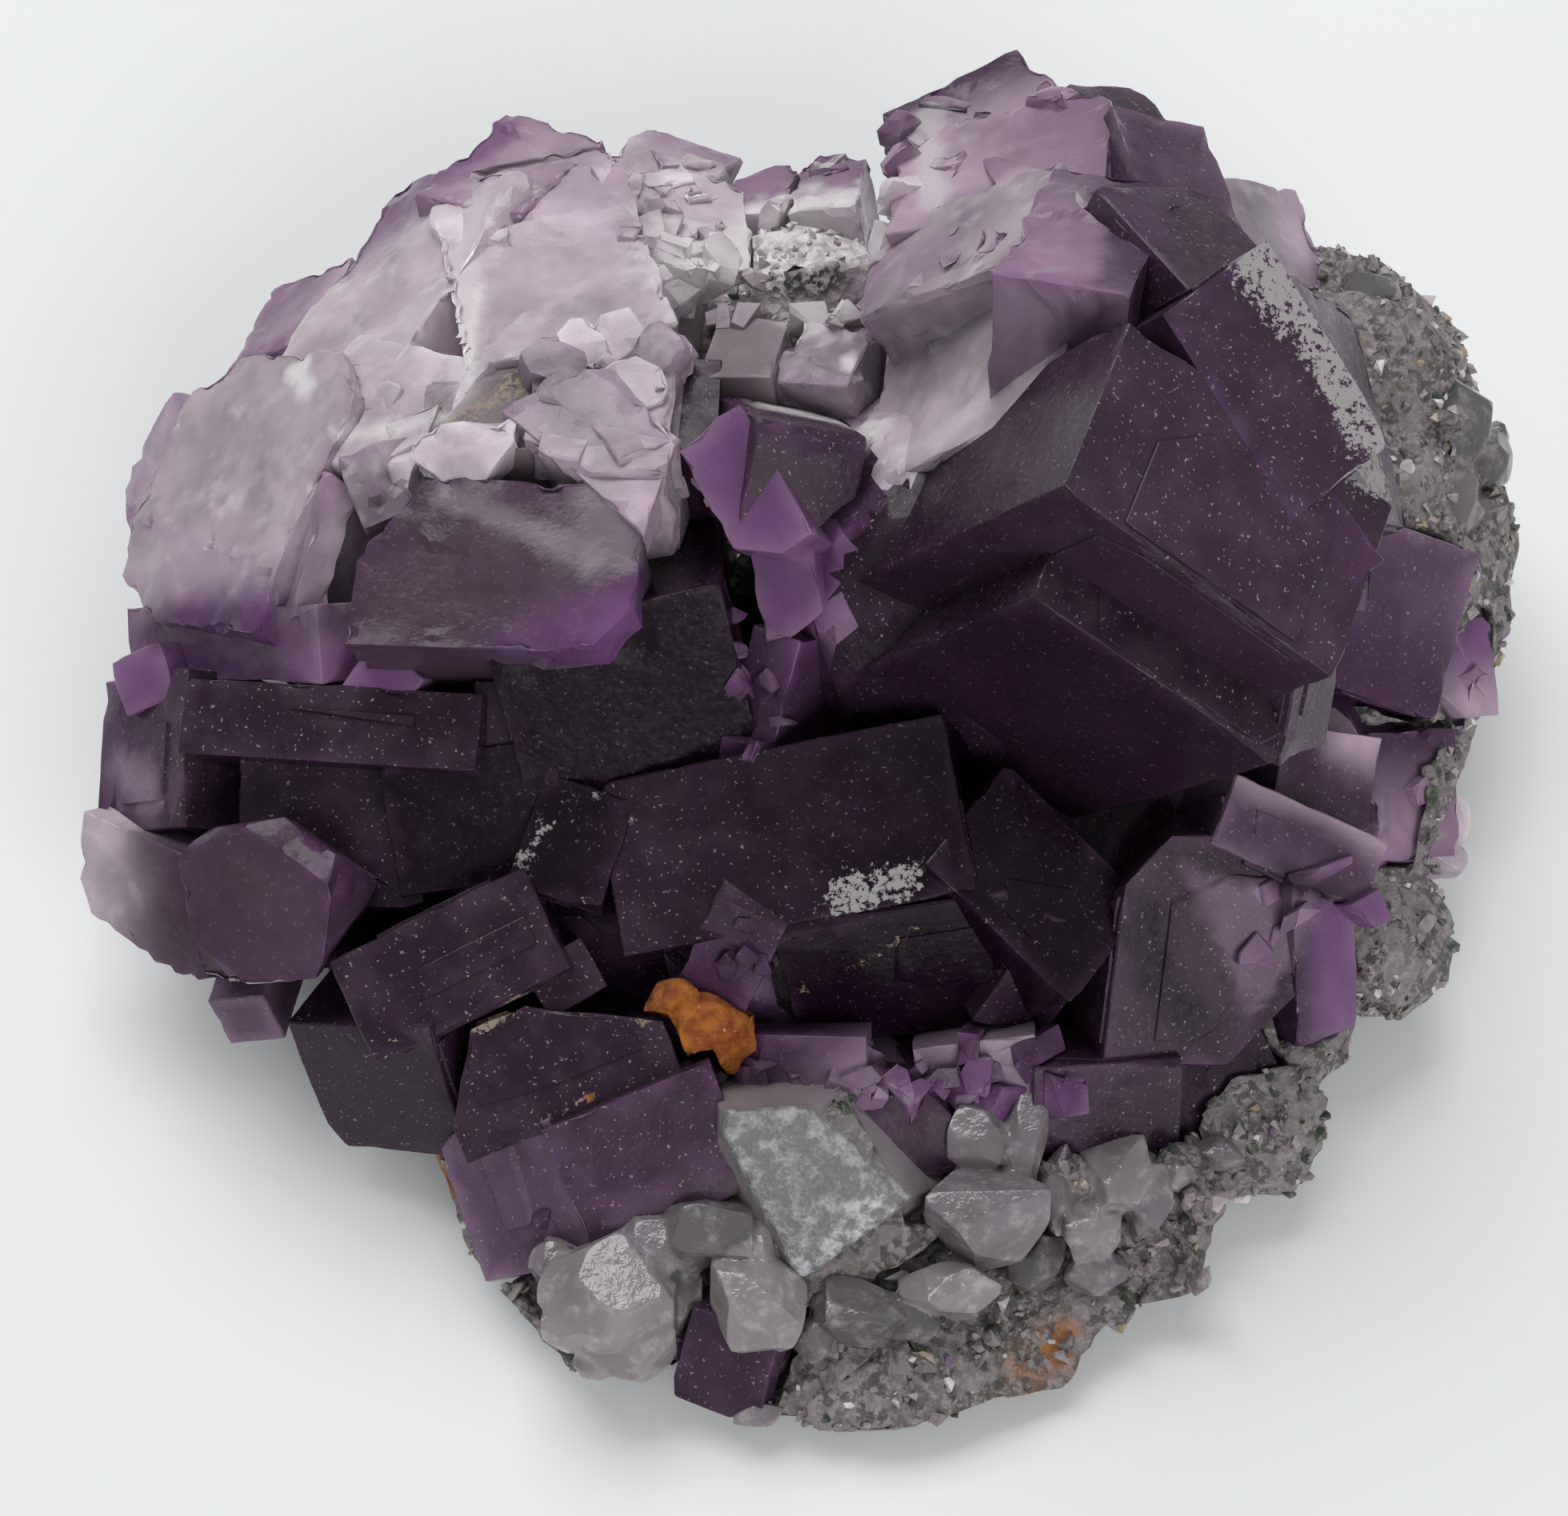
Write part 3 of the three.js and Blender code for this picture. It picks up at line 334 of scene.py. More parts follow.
# A crystal's chips: how many, and how deep the cuts go: at least, at most for each millimetre of
# width, and what is added to that
CHIPS = {
    ("broken", "large"): (7, 0.08, 0.08, 0.1),
    ("broken", "small"): (3, 0.08, 0.08, 0.1),
    ("whole", "large"): (6, 0.05, 0.04, 0.1),
    ("whole", "small"): (2, 0.02, 0.12, 0),
}
BEVEL = {"broken": 0.04, "whole": 0.08}
BEVEL_WIDTH = 3  # crystals narrower than this have smaller bevels


def face_axes(looks, spin):
    """The three axes of a crystal: across and up its show face, turned by its spin, and the face's normal."""
    normal = Vector(looks).normalized()
    across = (Vector((1, 0, 0)) - normal * normal.x).normalized()
    up = normal.cross(across)
    turn = math.radians(spin)
    x = across * math.cos(turn) + up * math.sin(turn)
    y = up * math.cos(turn) - across * math.sin(turn)
    return x, y, normal


def trim_planes(one):
    """The crystal's trims as planes: a normal and a point each."""
    x, y, z = face_axes(one["looks"], one["spin"])
    at = Vector(one["at"])
    planes = []
    for angle, distance, lean in one["trims"]:
        turn, tip = math.radians(angle), math.radians(lean)
        side = x * math.cos(turn) + y * math.sin(turn)
        normal = side * math.cos(tip) - z * math.sin(tip)
        planes.append((normal, at + normal * distance))
    return planes


def object_from(bm, name):
    """An object with what is in a bmesh, which is freed."""
    mesh = bpy.data.meshes.new(name)
    bm.to_mesh(mesh)
    bm.free()
    return bpy.data.objects.new(name, mesh)


def random_vector(rng, spread=1):
    return Vector([rng.gauss(0, spread) for _ in range(3)])


def stretch(bm, middle, radii):
    """Moves a shape of about unit radius to a place and gives it three radii."""
    for v in bm.verts:
        v.co = Vector([middle[k] + radii[k] * v.co[k] for k in range(3)])


def extent(one):
    """The crystal's lowest and highest corner in its own axes. Its show face lies at height 0."""
    wide, high, deep = one["size"]
    return (-wide / 2, -high / 2, -deep), (wide / 2, high / 2, 0)


def block(one, low, high):
    """A box in the crystal's own axes, from low to high, as a mesh to cut."""
    x, y, z = face_axes(one["looks"], one["spin"])
    place = Matrix((x, y, z)).transposed().to_4x4()
    place.translation = Vector(one["at"])
    bm = bmesh.new()
    bmesh.ops.create_cube(bm, size=1)
    for v in bm.verts:
        corner = [low[k] + (high[k] - low[k]) * (v.co[k] + 0.5) for k in range(3)]
        v.co = place @ Vector(corner)
    return bm


def cut(bm, normal, point):
    """Cuts off what lies beyond a plane, and closes the cut."""
    everything = bm.verts[:] + bm.edges[:] + bm.faces[:]
    made = bmesh.ops.bisect_plane(
        bm, geom=everything, plane_co=point, plane_no=normal, clear_outer=True, dist=CUT_SLACK
    )["geom_cut"]
    edges = [e for e in made if isinstance(e, bmesh.types.BMEdge)]
    if len(edges) > 2:
        bmesh.ops.edgeloop_fill(bm, edges=edges)


def trimmed_block(one):
    """The crystal as a block with its trims cut off."""
    bm = block(one, *extent(one))
    for normal, point in trim_planes(one):
        cut(bm, normal, point)
    return bm


def chip(bm, rng, count, depth):
    """Knocks off corners and slivers, each by a plane a random depth inside the crystal."""
    for _ in range(count):
        way = random_vector(rng).normalized()
        reach = max(v.co.dot(way) for v in bm.verts)
        deep = rng.uniform(*depth)
        cut(bm, way, way * (reach - deep))


def finish_block(bm, bevel, name, segments=1):
    """Bevels the block's edges and returns it as an object."""
    bmesh.ops.remove_doubles(bm, verts=bm.verts[:], dist=BLOCK_WELD)
    bmesh.ops.dissolve_limit(bm, angle_limit=FLAT_ANGLE, verts=bm.verts[:], edges=bm.edges[:])
    bmesh.ops.bevel(
        bm, geom=bm.edges[:], offset=bevel, segments=segments, profile=BEVEL_PROFILE, affect="EDGES",
        clamp_overlap=True)
    bmesh.ops.recalc_face_normals(bm, faces=bm.faces[:])
    return object_from(bm, name)


def planes_of(bm):
    """Normals and offsets of a convex mesh's faces."""
    bm.normal_update()
    normals = np.array([f.normal for f in bm.faces])
    points = np.array([f.calc_center_median() for f in bm.faces])
    return normals, (normals * points).sum(1)


# Growth terraces: low plates on a crystal's faces, with margins and rise in millimetres
TERRACE_RISE = (0.06, 0.16)
TERRACE_MARGIN = (0.2, 2.6)
TERRACE_SIDES = ((2, 1), (0, -1), (0, 1), (1, -1), (1, 1))
TERRACE_TONES = ("ink", "deep", "dusk", "haze", "violet")
TERRACE_SHARE = 0.45  # share of the faces that have one
TERRACE_NARROWEST = 3  # no plates on a crystal narrower than this
TERRACE_SINK = 0.25  # how far below the show face a side's plate ends
TERRACE_INSET = 0.2  # how far inside the crystal's own trims a plate is trimmed
TERRACE_CHIPS, TERRACE_CHIP_DEPTH = 5, (0.1, 1.3)
TERRACE_BEVEL = 0.03


def terraces(one, rng):
    """The plates on a crystal's faces, each a box that stands a little proud of one face."""
    low, top = extent(one)
    plates = []
    for axis, sign in TERRACE_SIDES:
        if min(one["size"][:2]) < TERRACE_NARROWEST or rng.random() > TERRACE_SHARE:
            continue
        a, b = list(low), list(top)
        for k in range(3):
            room = (top[k] - low[k]) / 3
            a[k] += min(rng.uniform(*TERRACE_MARGIN), room)
            b[k] -= min(rng.uniform(*TERRACE_MARGIN), room) if k != 2 else TERRACE_SINK
        rise = rng.uniform(*TERRACE_RISE)
        if sign > 0:
            b[axis] = top[axis] + rise
        else:
            a[axis] = low[axis] - rise
        plates.append((a, b))
    return plates


def owner_of(one, bm):
    """What the painting needs of a crystal: the table row, its planes, and a sphere around it."""
    corners = np.array([v.co for v in bm.verts])
    middle = corners.mean(0)
    return one, planes_of(bm), middle, np.linalg.norm(corners - middle, axis=1).max()


def grow(one, rng, name):
    """A crystal as an object, chipped and bevelled, and what the painting needs of it."""
    kind = "broken" if BROKEN[one["tone"]] >= BROKEN_BLOCK else "whole"
    width = min(one["size"][:2])
    bm = trimmed_block(one)
    count, least, most, added = CHIPS[kind, "large" if width > LARGE[kind] else "small"]
    chip(bm, rng, count, (least, most * width + added))
    if len(bm.faces) < 4:
        bm.free()
        return None
    owner = owner_of(one, bm)
    return finish_block(bm, BEVEL[kind] * min(1, width / BEVEL_WIDTH), name), owner


def grow_crystals(table):
    """Every crystal with its terraces, and what the painting needs of each."""
    objects, owners = [], []
    for number, (name, one) in enumerate(table.items()):
        rng = random.Random(1000 + number)
        grown = grow(one, rng, name)
        if grown is None:
            continue
        objects.append(grown[0])
        owners.append(grown[1])
        if one["tone"] in TERRACE_TONES:
            for k, (a, b) in enumerate(terraces(one, rng)):
                plate = block(one, a, b)
                for normal, point in trim_planes(one):
                    cut(plate, normal, point - normal * TERRACE_INSET)
                chip(plate, rng, TERRACE_CHIPS, TERRACE_CHIP_DEPTH)
                if len(plate.faces) > 3:
                    objects.append(finish_block(plate, TERRACE_BEVEL, f"{name}_terrace{k}"))
                else:
                    plate.free()
    return objects, owners


def lump_object(middle, radii, name):
    """A rounded lump with three radii."""
    bm = bmesh.new()
    bmesh.ops.create_icosphere(bm, subdivisions=2, radius=1)
    stretch(bm, middle, radii)
    return object_from(bm, name)


def union(objects, name, minus=None):
    """One closed mesh from many overlapping ones."""
    first, others = objects[0], objects[1:]
    pool = bpy.data.collections.new("pool")
    for one in others:
        pool.objects.link(one)
    bpy.context.scene.collection.objects.link(first)
    bpy.context.scene.collection.children.link(pool)
    add = first.modifiers.new("union", "BOOLEAN")
    add.operation, add.solver, add.operand_type, add.collection = "UNION", "MANIFOLD", "COLLECTION", pool
    if minus is not None:
        bpy.context.scene.collection.objects.link(minus)
        less = first.modifiers.new("less", "BOOLEAN")
        less.operation, less.solver, less.object = "DIFFERENCE", "MANIFOLD", minus
    evaluated = first.evaluated_get(bpy.context.evaluated_depsgraph_get())
    mesh = bpy.data.meshes.new_from_object(evaluated)
    mesh.name = name
    for one in objects + ([minus] if minus is not None else []):
        bpy.data.objects.remove(one)
    bpy.data.collections.remove(pool)
    return mesh


MESH_WELD = 1e-3  # corners of a mesh closer than this are one corner
FINE_MESH = 0.4  # crystals more broken than this get the finer mesh


def refine(mesh, longest, owners=None, fine=None, passes=6):
    """Splits long edges until none is longer than a limit; broken crystals may have a finer one."""
    bm = bmesh.new()
    bm.from_mesh(mesh)
    bmesh.ops.remove_doubles(bm, verts=bm.verts[:], dist=MESH_WELD)
    bmesh.ops.triangulate(bm, faces=bm.faces[:])
    for _ in range(passes):
        edges = bm.edges[:]
        ends = np.array([(*e.verts[0].co, *e.verts[1].co) for e in edges])
        length = np.linalg.norm(ends[:, 3:] - ends[:, :3], axis=1)
        limit = np.full(len(edges), longest)
        if owners is not None:
            some = np.nonzero((length > fine) & (length <= longest))[0]
            owner = nearest_owner((ends[some, :3] + ends[some, 3:]) / 2, owners)[0]
            broken = np.array([BROKEN[one["tone"]] for one, *_ in owners])
            limit[some] = np.where(broken[owner] > FINE_MESH, fine, longest)
        long_edges = [edges[k] for k in np.nonzero(length > limit)[0]]
        if not long_edges:
            break
        bmesh.ops.subdivide_edges(bm, edges=long_edges, cuts=1)
        bmesh.ops.triangulate(bm, faces=[f for f in bm.faces if len(f.verts) > 3])
    if owners is not None:
        largest_part(bm)
    bm.to_mesh(mesh)
    bm.free()


def largest_part(bm):
    """Deletes every separate shell but the largest."""
    seen, shells = set(), []
    for start in bm.verts:
        if start in seen:
            continue
        shell, stack = [], [start]
        seen.add(start)
        while stack:
            v = stack.pop()
            shell.append(v)
            for e in v.link_edges:
                other = e.other_vert(v)
                if other not in seen:
                    seen.add(other)
                    stack.append(other)
        shells.append(shell)
    shells.sort(key=len)
    bmesh.ops.delete(bm, geom=[v for shell in shells[:-1] for v in shell], context="VERTS")


def values_of(items, field, width=1, kind=np.float32):
    """A property of every vertex, corner or face of a mesh, one row for each."""
    values = np.zeros(len(items) * width, kind)
    items.foreach_get(field, values)
    return values if width == 1 else values.reshape(-1, width).astype(float)


def coordinates(mesh):
    return values_of(mesh.vertices, "co", 3)


def vertex_normals(mesh):
    return values_of(mesh.vertices, "normal", 3)


def set_coordinates(mesh, co):
    mesh.vertices.foreach_set("co", co.astype(np.float32).ravel())
    mesh.update()


def add_colours(mesh, name, domain, values):
    """A colour attribute, on a mesh's points or on its face corners."""
    layer = mesh.color_attributes.new(name, "FLOAT_COLOR", domain)
    layer.data.foreach_set("color", values.astype(np.float32).ravel())


def surface_of(mesh):
    """A mesh's surface, to find the point of it that is nearest or that a ray meets."""
    return BVHTree.FromPolygons([v.co for v in mesh.vertices], [p.vertices[:] for p in mesh.polygons])


OWNER_REACH = 0.6  # how far outside a crystal's own sphere its surface may lie


def nearest_owner(points, owners):
    """For each point, the crystal whose surface it lies on, and how near it is to one of its edges."""
    best = np.full(len(points), 1e9)
    owner = np.zeros(len(points), int)
    edge = np.full(len(points), 9.0)
    for k, (_, (normals, offsets), middle, reach) in enumerate(owners):
        near = np.nonzero(((points - middle) ** 2).sum(1) < (reach + OWNER_REACH) ** 2)[0]
        if not len(near):
            continue
        away = points[near] @ normals.T - offsets
        away.sort(axis=1)
        on = np.abs(away[:, -1])
        closer = on < best[near]
        mine = near[closer]
        best[mine] = on[closer]
        owner[mine] = k
        edge[mine] = -away[closer, -2]
    return owner, edge


def smooth_step(low, high, value):
    t = np.clip((value - low) / (high - low), 0, 1)
    return t * t * (3 - 2 * t)


# Three directions at right angles for the blocks of a broken crystal, and numbers that scatter tones
FRACTURE_AXES = ((0.80, -0.36, 0.48), (0.60, 0.48, -0.64), (0.0, 0.80, 0.60))
SCATTER_ROW, SCATTER = (12.99, 78.23, 37.72), 43758.5


def field(points, scale, seed):
    """Smooth noise from -1 to 1 at each point; scale is the size of its features in millimetres."""
    shift = Vector((seed * 17.3, seed * -9.1, seed * 5.7))
    return np.array([noise.noise(Vector(p) / scale + shift) for p in points])


def fracture(points, warp, size):
    """A random tone from -1 to 1 for each warped block of a broken crystal."""
    cell = np.floor((points @ np.array(FRACTURE_AXES) + warp) / size)
    mixed = np.sin(cell @ np.array(SCATTER_ROW)) * SCATTER
    return 2 * (mixed - np.floor(mixed)) - 1


def path_distance(points, path):
    """How far each point is from a path of straight pieces."""
    path = np.array(path, float)
    best = np.full(len(points), 1e9)
    for a, b in zip(path[:-1], path[1:]):
        along = b - a
        t = np.clip(((points - a) @ along) / max(along @ along, 1e-9), 0, 1)
        best = np.minimum(best, np.linalg.norm(points - a - t[:, None] * along, axis=1))
    return best


def in_polygon(points, corners, soft=0.12, thick=1.2):
    """1 inside a flat polygon in space, falling to 0 over a soft border."""
    corners = np.array(corners, float)
    middle = corners.mean(0)
    normal = np.cross(corners[1] - corners[0], corners[2] - corners[1])
    normal /= np.linalg.norm(normal)
    share = (np.abs((points - middle) @ normal) < thick).astype(float)
    for a, b in zip(corners, np.roll(corners, -1, axis=0)):
        inward = np.cross(normal, b - a)
        inward /= np.linalg.norm(inward)
        if (middle - a) @ inward < 0:
            inward = -inward
        share *= smooth_step(-soft, soft, (points - a) @ inward)
    return share


def toward(colour, tone, share):
    return colour + (np.array(TONES[tone]) - colour) * share[:, None]


CLOUD_SIZE, GRAIN_SIZE = 2.6, 0.7
FRACTURE_WARP = 1.6
FRACTURE_SIZES = (2.1, 0.9)  # larger and smaller blocks of a broken crystal
SMALL_BLOCKS = 0.5  # how much the smaller ones count
RIM_SHARE, WORN_SHARE = 0.6, 0.35
WORN_WIDTH = 0.12
MOTTLE = (0.25, 0.10, 0.12)  # how much clouds, grain and breaks change the tone
STREAK_REACH = 12  # no streak is looked for farther than this from its middle
COVERING = ("dust", "dirt", "clay")  # tones that lie on the crystals; the others are in them


def paint(mesh, owners):
    """Colours each face corner: tint holds the body colour, state dust and breaks, cover what lies on top."""
    co = coordinates(mesh)
    corner = values_of(mesh.loops, "vertex_index", kind=np.int32)
    count = len(corner)
    totals = values_of(mesh.polygons, "loop_total", kind=np.int32)
    face_of = np.repeat(np.arange(len(totals)), totals)
    owner = nearest_owner(values_of(mesh.polygons, "center", 3), owners)[0][face_of]
    cloud = field(co, CLOUD_SIZE, 3)
    grain = field(co, GRAIN_SIZE, 4)
    warp = FRACTURE_WARP * np.stack([cloud, grain, -cloud], axis=1)
    large, little = (fracture(co, warp, size) for size in FRACTURE_SIZES)
    cleft = large + SMALL_BLOCKS * little
    tint = np.zeros((count, 4))
    state = np.zeros((count, 4))
    tint[:, 3] = state[:, 3] = 1
    for k, (one, (normals, offsets), _, _) in enumerate(owners):
        mine = np.nonzero(owner == k)[0]
        if not len(mine):
            continue
        p, c, g, f = (values[corner[mine]] for values in (co, cloud, grain, cleft))
        x, y, _ = (np.array(a) for a in face_axes(one["looks"], one["spin"]))
        local = p - np.array(one["at"])
        tone = one["tone"]
        body = np.tile(TONES[tone], (len(p), 1))
        dust = np.full(len(p), DUST[tone])
        broken = np.full(len(p), BROKEN[tone])
        away = np.sort(p @ normals.T - offsets, axis=1)
        edge = -np.minimum(away[:, -2], 0)
        rim_tone, rim_wide = RIM[tone]
        rim = np.exp(-edge / rim_wide) * (0.4 + 0.6 * smooth_step(-0.4, 0.4, 0.5 * g + c))
        body = toward(body, rim_tone, RIM_SHARE * rim)
        if one["fade"]:
            other, angle, start, end = one["fade"]
            turn = math.radians(angle)
            way = x * math.cos(turn) + y * math.sin(turn)
            half = abs(math.cos(turn)) * one["size"][0] / 2 + abs(math.sin(turn)) * one["size"][1] / 2
            share = smooth_step(start, end, local @ way / half + 0.25 * c)
            body = toward(body, other, share)
            dust += (DUST[other] - dust) * share
            broken += (BROKEN[other] - broken) * share
        worn = np.exp(-edge / WORN_WIDTH) * smooth_step(-0.2, 0.5, g)
        body = toward(body, RIM[rim_tone][0], WORN_SHARE * worn)
        body *= (1 + MOTTLE[0] * c + MOTTLE[1] * g + MOTTLE[2] * broken * f)[:, None]
        tint[mine, :3] = np.clip(body, 0, 1)
        state[mine, 0] = np.clip(dust, 0, 1)
        state[mine, 1] = np.clip(broken, 0, 1)
    where = co[corner]
    ragged = (1 + 0.45 * grain + 0.35 * cloud)[corner]
    cover = np.zeros((count, 4))
    for path, reach, tone, strength in STREAKS:
        near = np.linalg.norm(where - np.mean(path, axis=0), axis=1) < STREAK_REACH
        share = np.zeros(count)
        far = path_distance(where[near], path) * ragged[near]
        share[near] = smooth_step(reach, 0.35 * reach, far) * strength
        if tone in COVERING:
            cover[:, :3] = toward(cover[:, :3], tone, (share > 0).astype(float))
            cover[:, 3] = np.maximum(cover[:, 3], share)
        else:
            tint[:, :3] = toward(tint[:, :3], tone, share)
    for corners, tone, strength in FACETS:
        tint[:, :3] = toward(tint[:, :3], tone, in_polygon(where, corners) * strength)
    for name, values in (("tint", tint), ("state", state), ("cover", cover)):
        add_colours(mesh, name, "CORNER", values)


SCALLOP_CROWD = 1.3  # bowls per cube of their own size
SCALLOP_DEPTHS = 0.06  # how much deeper or shallower one bowl is than another, as a share of its size
SCALLOP_NEIGHBOURS = 6


def scallops(points, size, tilt, bowl, seed):
    """Shell-like breaks: hollows of about a size, each a tilted bowl, that meet in sharp ridges."""
    rng = random.Random(seed)
    low, high = points.min(0) - size, points.max(0) + size
    count = int(np.prod((high - low) / size) * SCALLOP_CROWD)
    seeds = KDTree(count)
    bowls = []
    for k in range(count):
        seeds.insert(Vector([rng.uniform(low[i], high[i]) for i in range(3)]), k)
        bowls.append((random_vector(rng, tilt), rng.uniform(-SCALLOP_DEPTHS, SCALLOP_DEPTHS) * size))
    seeds.balance()
    height = np.zeros(len(points))
    for k, point in enumerate(points):
        point = Vector(point)
        height[k] = min(
            bowls[index][0].dot(point - seed) + bowl * far * far + bowls[index][1]
            for seed, index, far in seeds.find_n(point, SCALLOP_NEIGHBOURS))
    return height


SWELL, RIPPLE = 0.05, 0.018
NICK_DEPTH, NICK_REACH = 0.16, 0.25
SHELL_BREAKS = 0.3  # crystals more broken than this show shell-like breaks
LARGE_BREAKS, SMALL_BREAKS = 0.7, 0.15
DEEPEST_BREAK, HIGHEST_BREAK = -0.25, 0.2


def roughen(mesh, owners):
    """Moves the surface a little: a faint swell, nicked edges, and shell-like breaks where it is broken."""
    co = coordinates(mesh)
    normals = vertex_normals(mesh)
    owner, edge = nearest_owner(co, owners)
    broken = np.array([BROKEN[one["tone"]] for one, *_ in owners])[owner]
    move = SWELL * field(co, 3.2, 8) + RIPPLE * field(co, 0.9, 9)
    nick = np.exp(-np.maximum(edge, 0) / NICK_REACH) * smooth_step(0.05, 0.5, field(co, 0.8, 10))
    move -= NICK_DEPTH * nick * (1 + broken)
    some = np.nonzero(broken > SHELL_BREAKS)[0]
    breaks = LARGE_BREAKS * scallops(co[some], size=3.6, tilt=0.12, bowl=0.07, seed=12)
    breaks += SMALL_BREAKS * scallops(co[some], size=1.3, tilt=0.2, bowl=0.25, seed=13)
    move[some] += np.clip(breaks - np.median(breaks), DEEPEST_BREAK, HIGHEST_BREAK) * broken[some]
    set_coordinates(mesh, co + normals * move[:, None])


def shift_to_frame(mesh, shift):
    """From the millimetres of the lists to metres in the shared frame."""
    low, high = (np.array(corner) for corner in CAD_BOX)
    set_coordinates(mesh, np.clip((coordinates(mesh) + shift) * MM, low, high))


def frame_shift():
    """How far the lists' own origin lies from the frame's, from where the fluorite's lowest x and y are."""
    corners = []
    for one in CRYSTALS.values():
        bm = trimmed_block(one)
        cut(bm, Vector((0, 0, -1)), Vector((0, 0, FOOT)))
        corners += [v.co.copy() for v in bm.verts]
        bm.free()
    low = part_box("fluorite_crystals")[0]
    x = low.x / MM - min(c.x for c in corners)
    y = low.y / MM - min(c.y for c in corners)
    return np.array([x, y, 0.0])


def add_piece(mesh, name, node, material):
    """Puts a finished mesh in the scene as a named piece that rides the body and may stand for a node."""
    piece = bpy.data.objects.new(name, mesh)
    bpy.context.scene.collection.objects.link(piece)
    mesh.materials.clear()
    mesh.materials.append(material)
    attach(piece, BODY)
    if node:
        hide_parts(node)
    return piece


# Small crystals and splinters that grow over the large ones

# Druse: middle, spread, how many, sizes, the direction they look and tone
DRUSE = [
    ((0.6, -11.6, 6.6), (3.2, 1.4, 1.0), 11, (0.9, 2.2), (-0.1, -0.65, 0.75), "haze"),
    ((5.2, -12.0, 6.3), (3.4, 1.0, 0.9), 11, (0.9, 2.1), (0, -0.65, 0.75), "bright"),
    ((8.6, -11.2, 6.6), (3.2, 1.0, 0.9), 9, (1.1, 2.4), (-0.1, -0.6, 0.76), "violet"),
    ((4.0, -11.4, 6.8), (7, 1.6, 1.0), 7, (0.6, 1.2), (0, -0.6, 0.76), "haze"),
    ((-4.2, 22.6, 16.6), (2.4, 3.0, 1.4), 16, (1.0, 2.6), (0.1, -0.4, 0.9), "grey"),
    ((-4.4, 24.6, 16.4), (2.2, 3.2, 1.4), 12, (0.8, 1.8), (0, -0.2, 0.95), "pale"),
    ((0.2, 17.4, 18.6), (4, 1.6, 1.2), 12, (0.8, 1.8), (0, -0.5, 0.86), "fog"),
    ((0.8, 25.0, 14.0), (3.6, 0.8, 2.0), 8, (0.8, 1.6), (0, -0.7, 0.7), "grey"),
    ((3.2, 19.4, 20.6), (1.6, 2.4, 1.6), 9, (0.8, 2.0), (-0.5, -0.4, 0.76), "pale"),
    ((-2.2, -8, 10), (1.4, 1.4, 1.6), 5, (0.6, 1.3), (-0.3, -0.8, 0.5), "dusk"),
    ((-1, 2, 15), (1.6, 3, 3), 8, (0.5, 1.2), (-0.5, -0.5, 0.7), "violet"),
    ((-3.6, 8.6, 18.4), (0.8, 1.4, 0.6), 5, (0.7, 1.3), (-0.3, -0.5, 0.8), "mist"),
    ((21, -5, 9.4), (2.6, 3, 1.6), 7, (0.8, 1.8), (0.3, -0.6, 0.74), "bright"),
    ((28, 4.6, 7), (2.6, 4, 2), 10, (0.9, 2.2), (0.5, -0.4, 0.76), "mauve"),
    ((8, 24.6, 22.4), (5, 3, 1.4), 5, (1.2, 2.4), (-0.1, 0.2, 0.97), "mauve"),
    ((-6, -17.4, 4.6), (4, 2.6, 1.4), 4, (0.8, 1.4), (-0.2, -0.6, 0.76), "dusk"),
]


SEAT_REACH = 3  # no small crystal is seated farther than this from where it was tried
SEAT_LEAN = 0.8  # how much a small crystal leans to the surface's own direction


def small_cubes(surface):
    """Small crystals of the druse, seated on the surface of the large ones."""
    rng = random.Random(77)
    made = []
    for middle, spread, count, sizes, looks, tone in DRUSE:
        for _ in range(count):
            start = Vector([middle[k] + spread[k] * rng.uniform(-1, 1) for k in range(3)])
            hit, normal, _, _ = surface.find_nearest(start)
            if hit is None or (hit - start).length > SEAT_REACH:
                continue
            size = rng.uniform(*sizes) * rng.uniform(0.7, 1)
            way = (Vector(looks) + normal * SEAT_LEAN + random_vector(rng, 0.25)).normalized()
            at = hit + way * size * 0.25
            shape = (size, size * rng.uniform(0.5, 1.2), size * 1.4)
            spin = rng.uniform(0, 90)
            corner_off = (rng.uniform(0, 360), 0.2 * size, rng.uniform(-45, -15))
            side_off = (rng.uniform(0, 360), 0.3 * size, 10)
            made.append(crystal(tuple(at), tuple(way), shape, spin, tone, trims=(corner_off, side_off)))
    return made


# Plates that broke free on the pale side
SHARDS = {
    "wedge": crystal((-6.6, 9.3, 20.7), (-0.04, -0.06, 1), (8.2, 4.4, 2.6), -45, "mist", ("lilac", 0, 0.1, 1),
        ((29, 2.5, 5), (150, 3.4, 10), (75, 1.9, 0))),
    "shell": crystal((-12.4, 9.0, 20.1), (-0.1, -0.3, 0.95), (4.2, 2.4, 1.4), 6, "pale", None,
        ((-45, 1.4, 0), (-130, 1.4, 0), (120, 1.6, 0))),
    "sliver": crystal((-18.2, 7.4, 16.2), (0.5, -0.35, 0.8), (1.3, 6.4, 3), -12, "lilac", None,
        ((70, 2.4, 0), (-60, 2.6, 0))),
    "step": crystal((-15.6, 9.2, 17.9), (0.1, -0.4, 0.9), (3, 3, 3), 20, "mist", None, ((-50, 1.6, 0),)),
    "leftCube": crystal((-26.3, 4.2, 11.2), (-0.35, -0.5, 0.8), (2.6, 2.4, 3), 20, "bright"),
}
# Petals of broken crystal around one point: their middle, and each one's direction, length and width
PETALS_AT = (-7.4, 12.8, 20.6)
PETALS = [
    (65, 2.9, 1.9), (18, 3.6, 2.0), (-28, 3.4, 2.2), (-80, 2.6, 1.8), (-140, 2.8, 1.6), (170, 3.0, 1.7),
    (115, 2.6, 1.6),
]
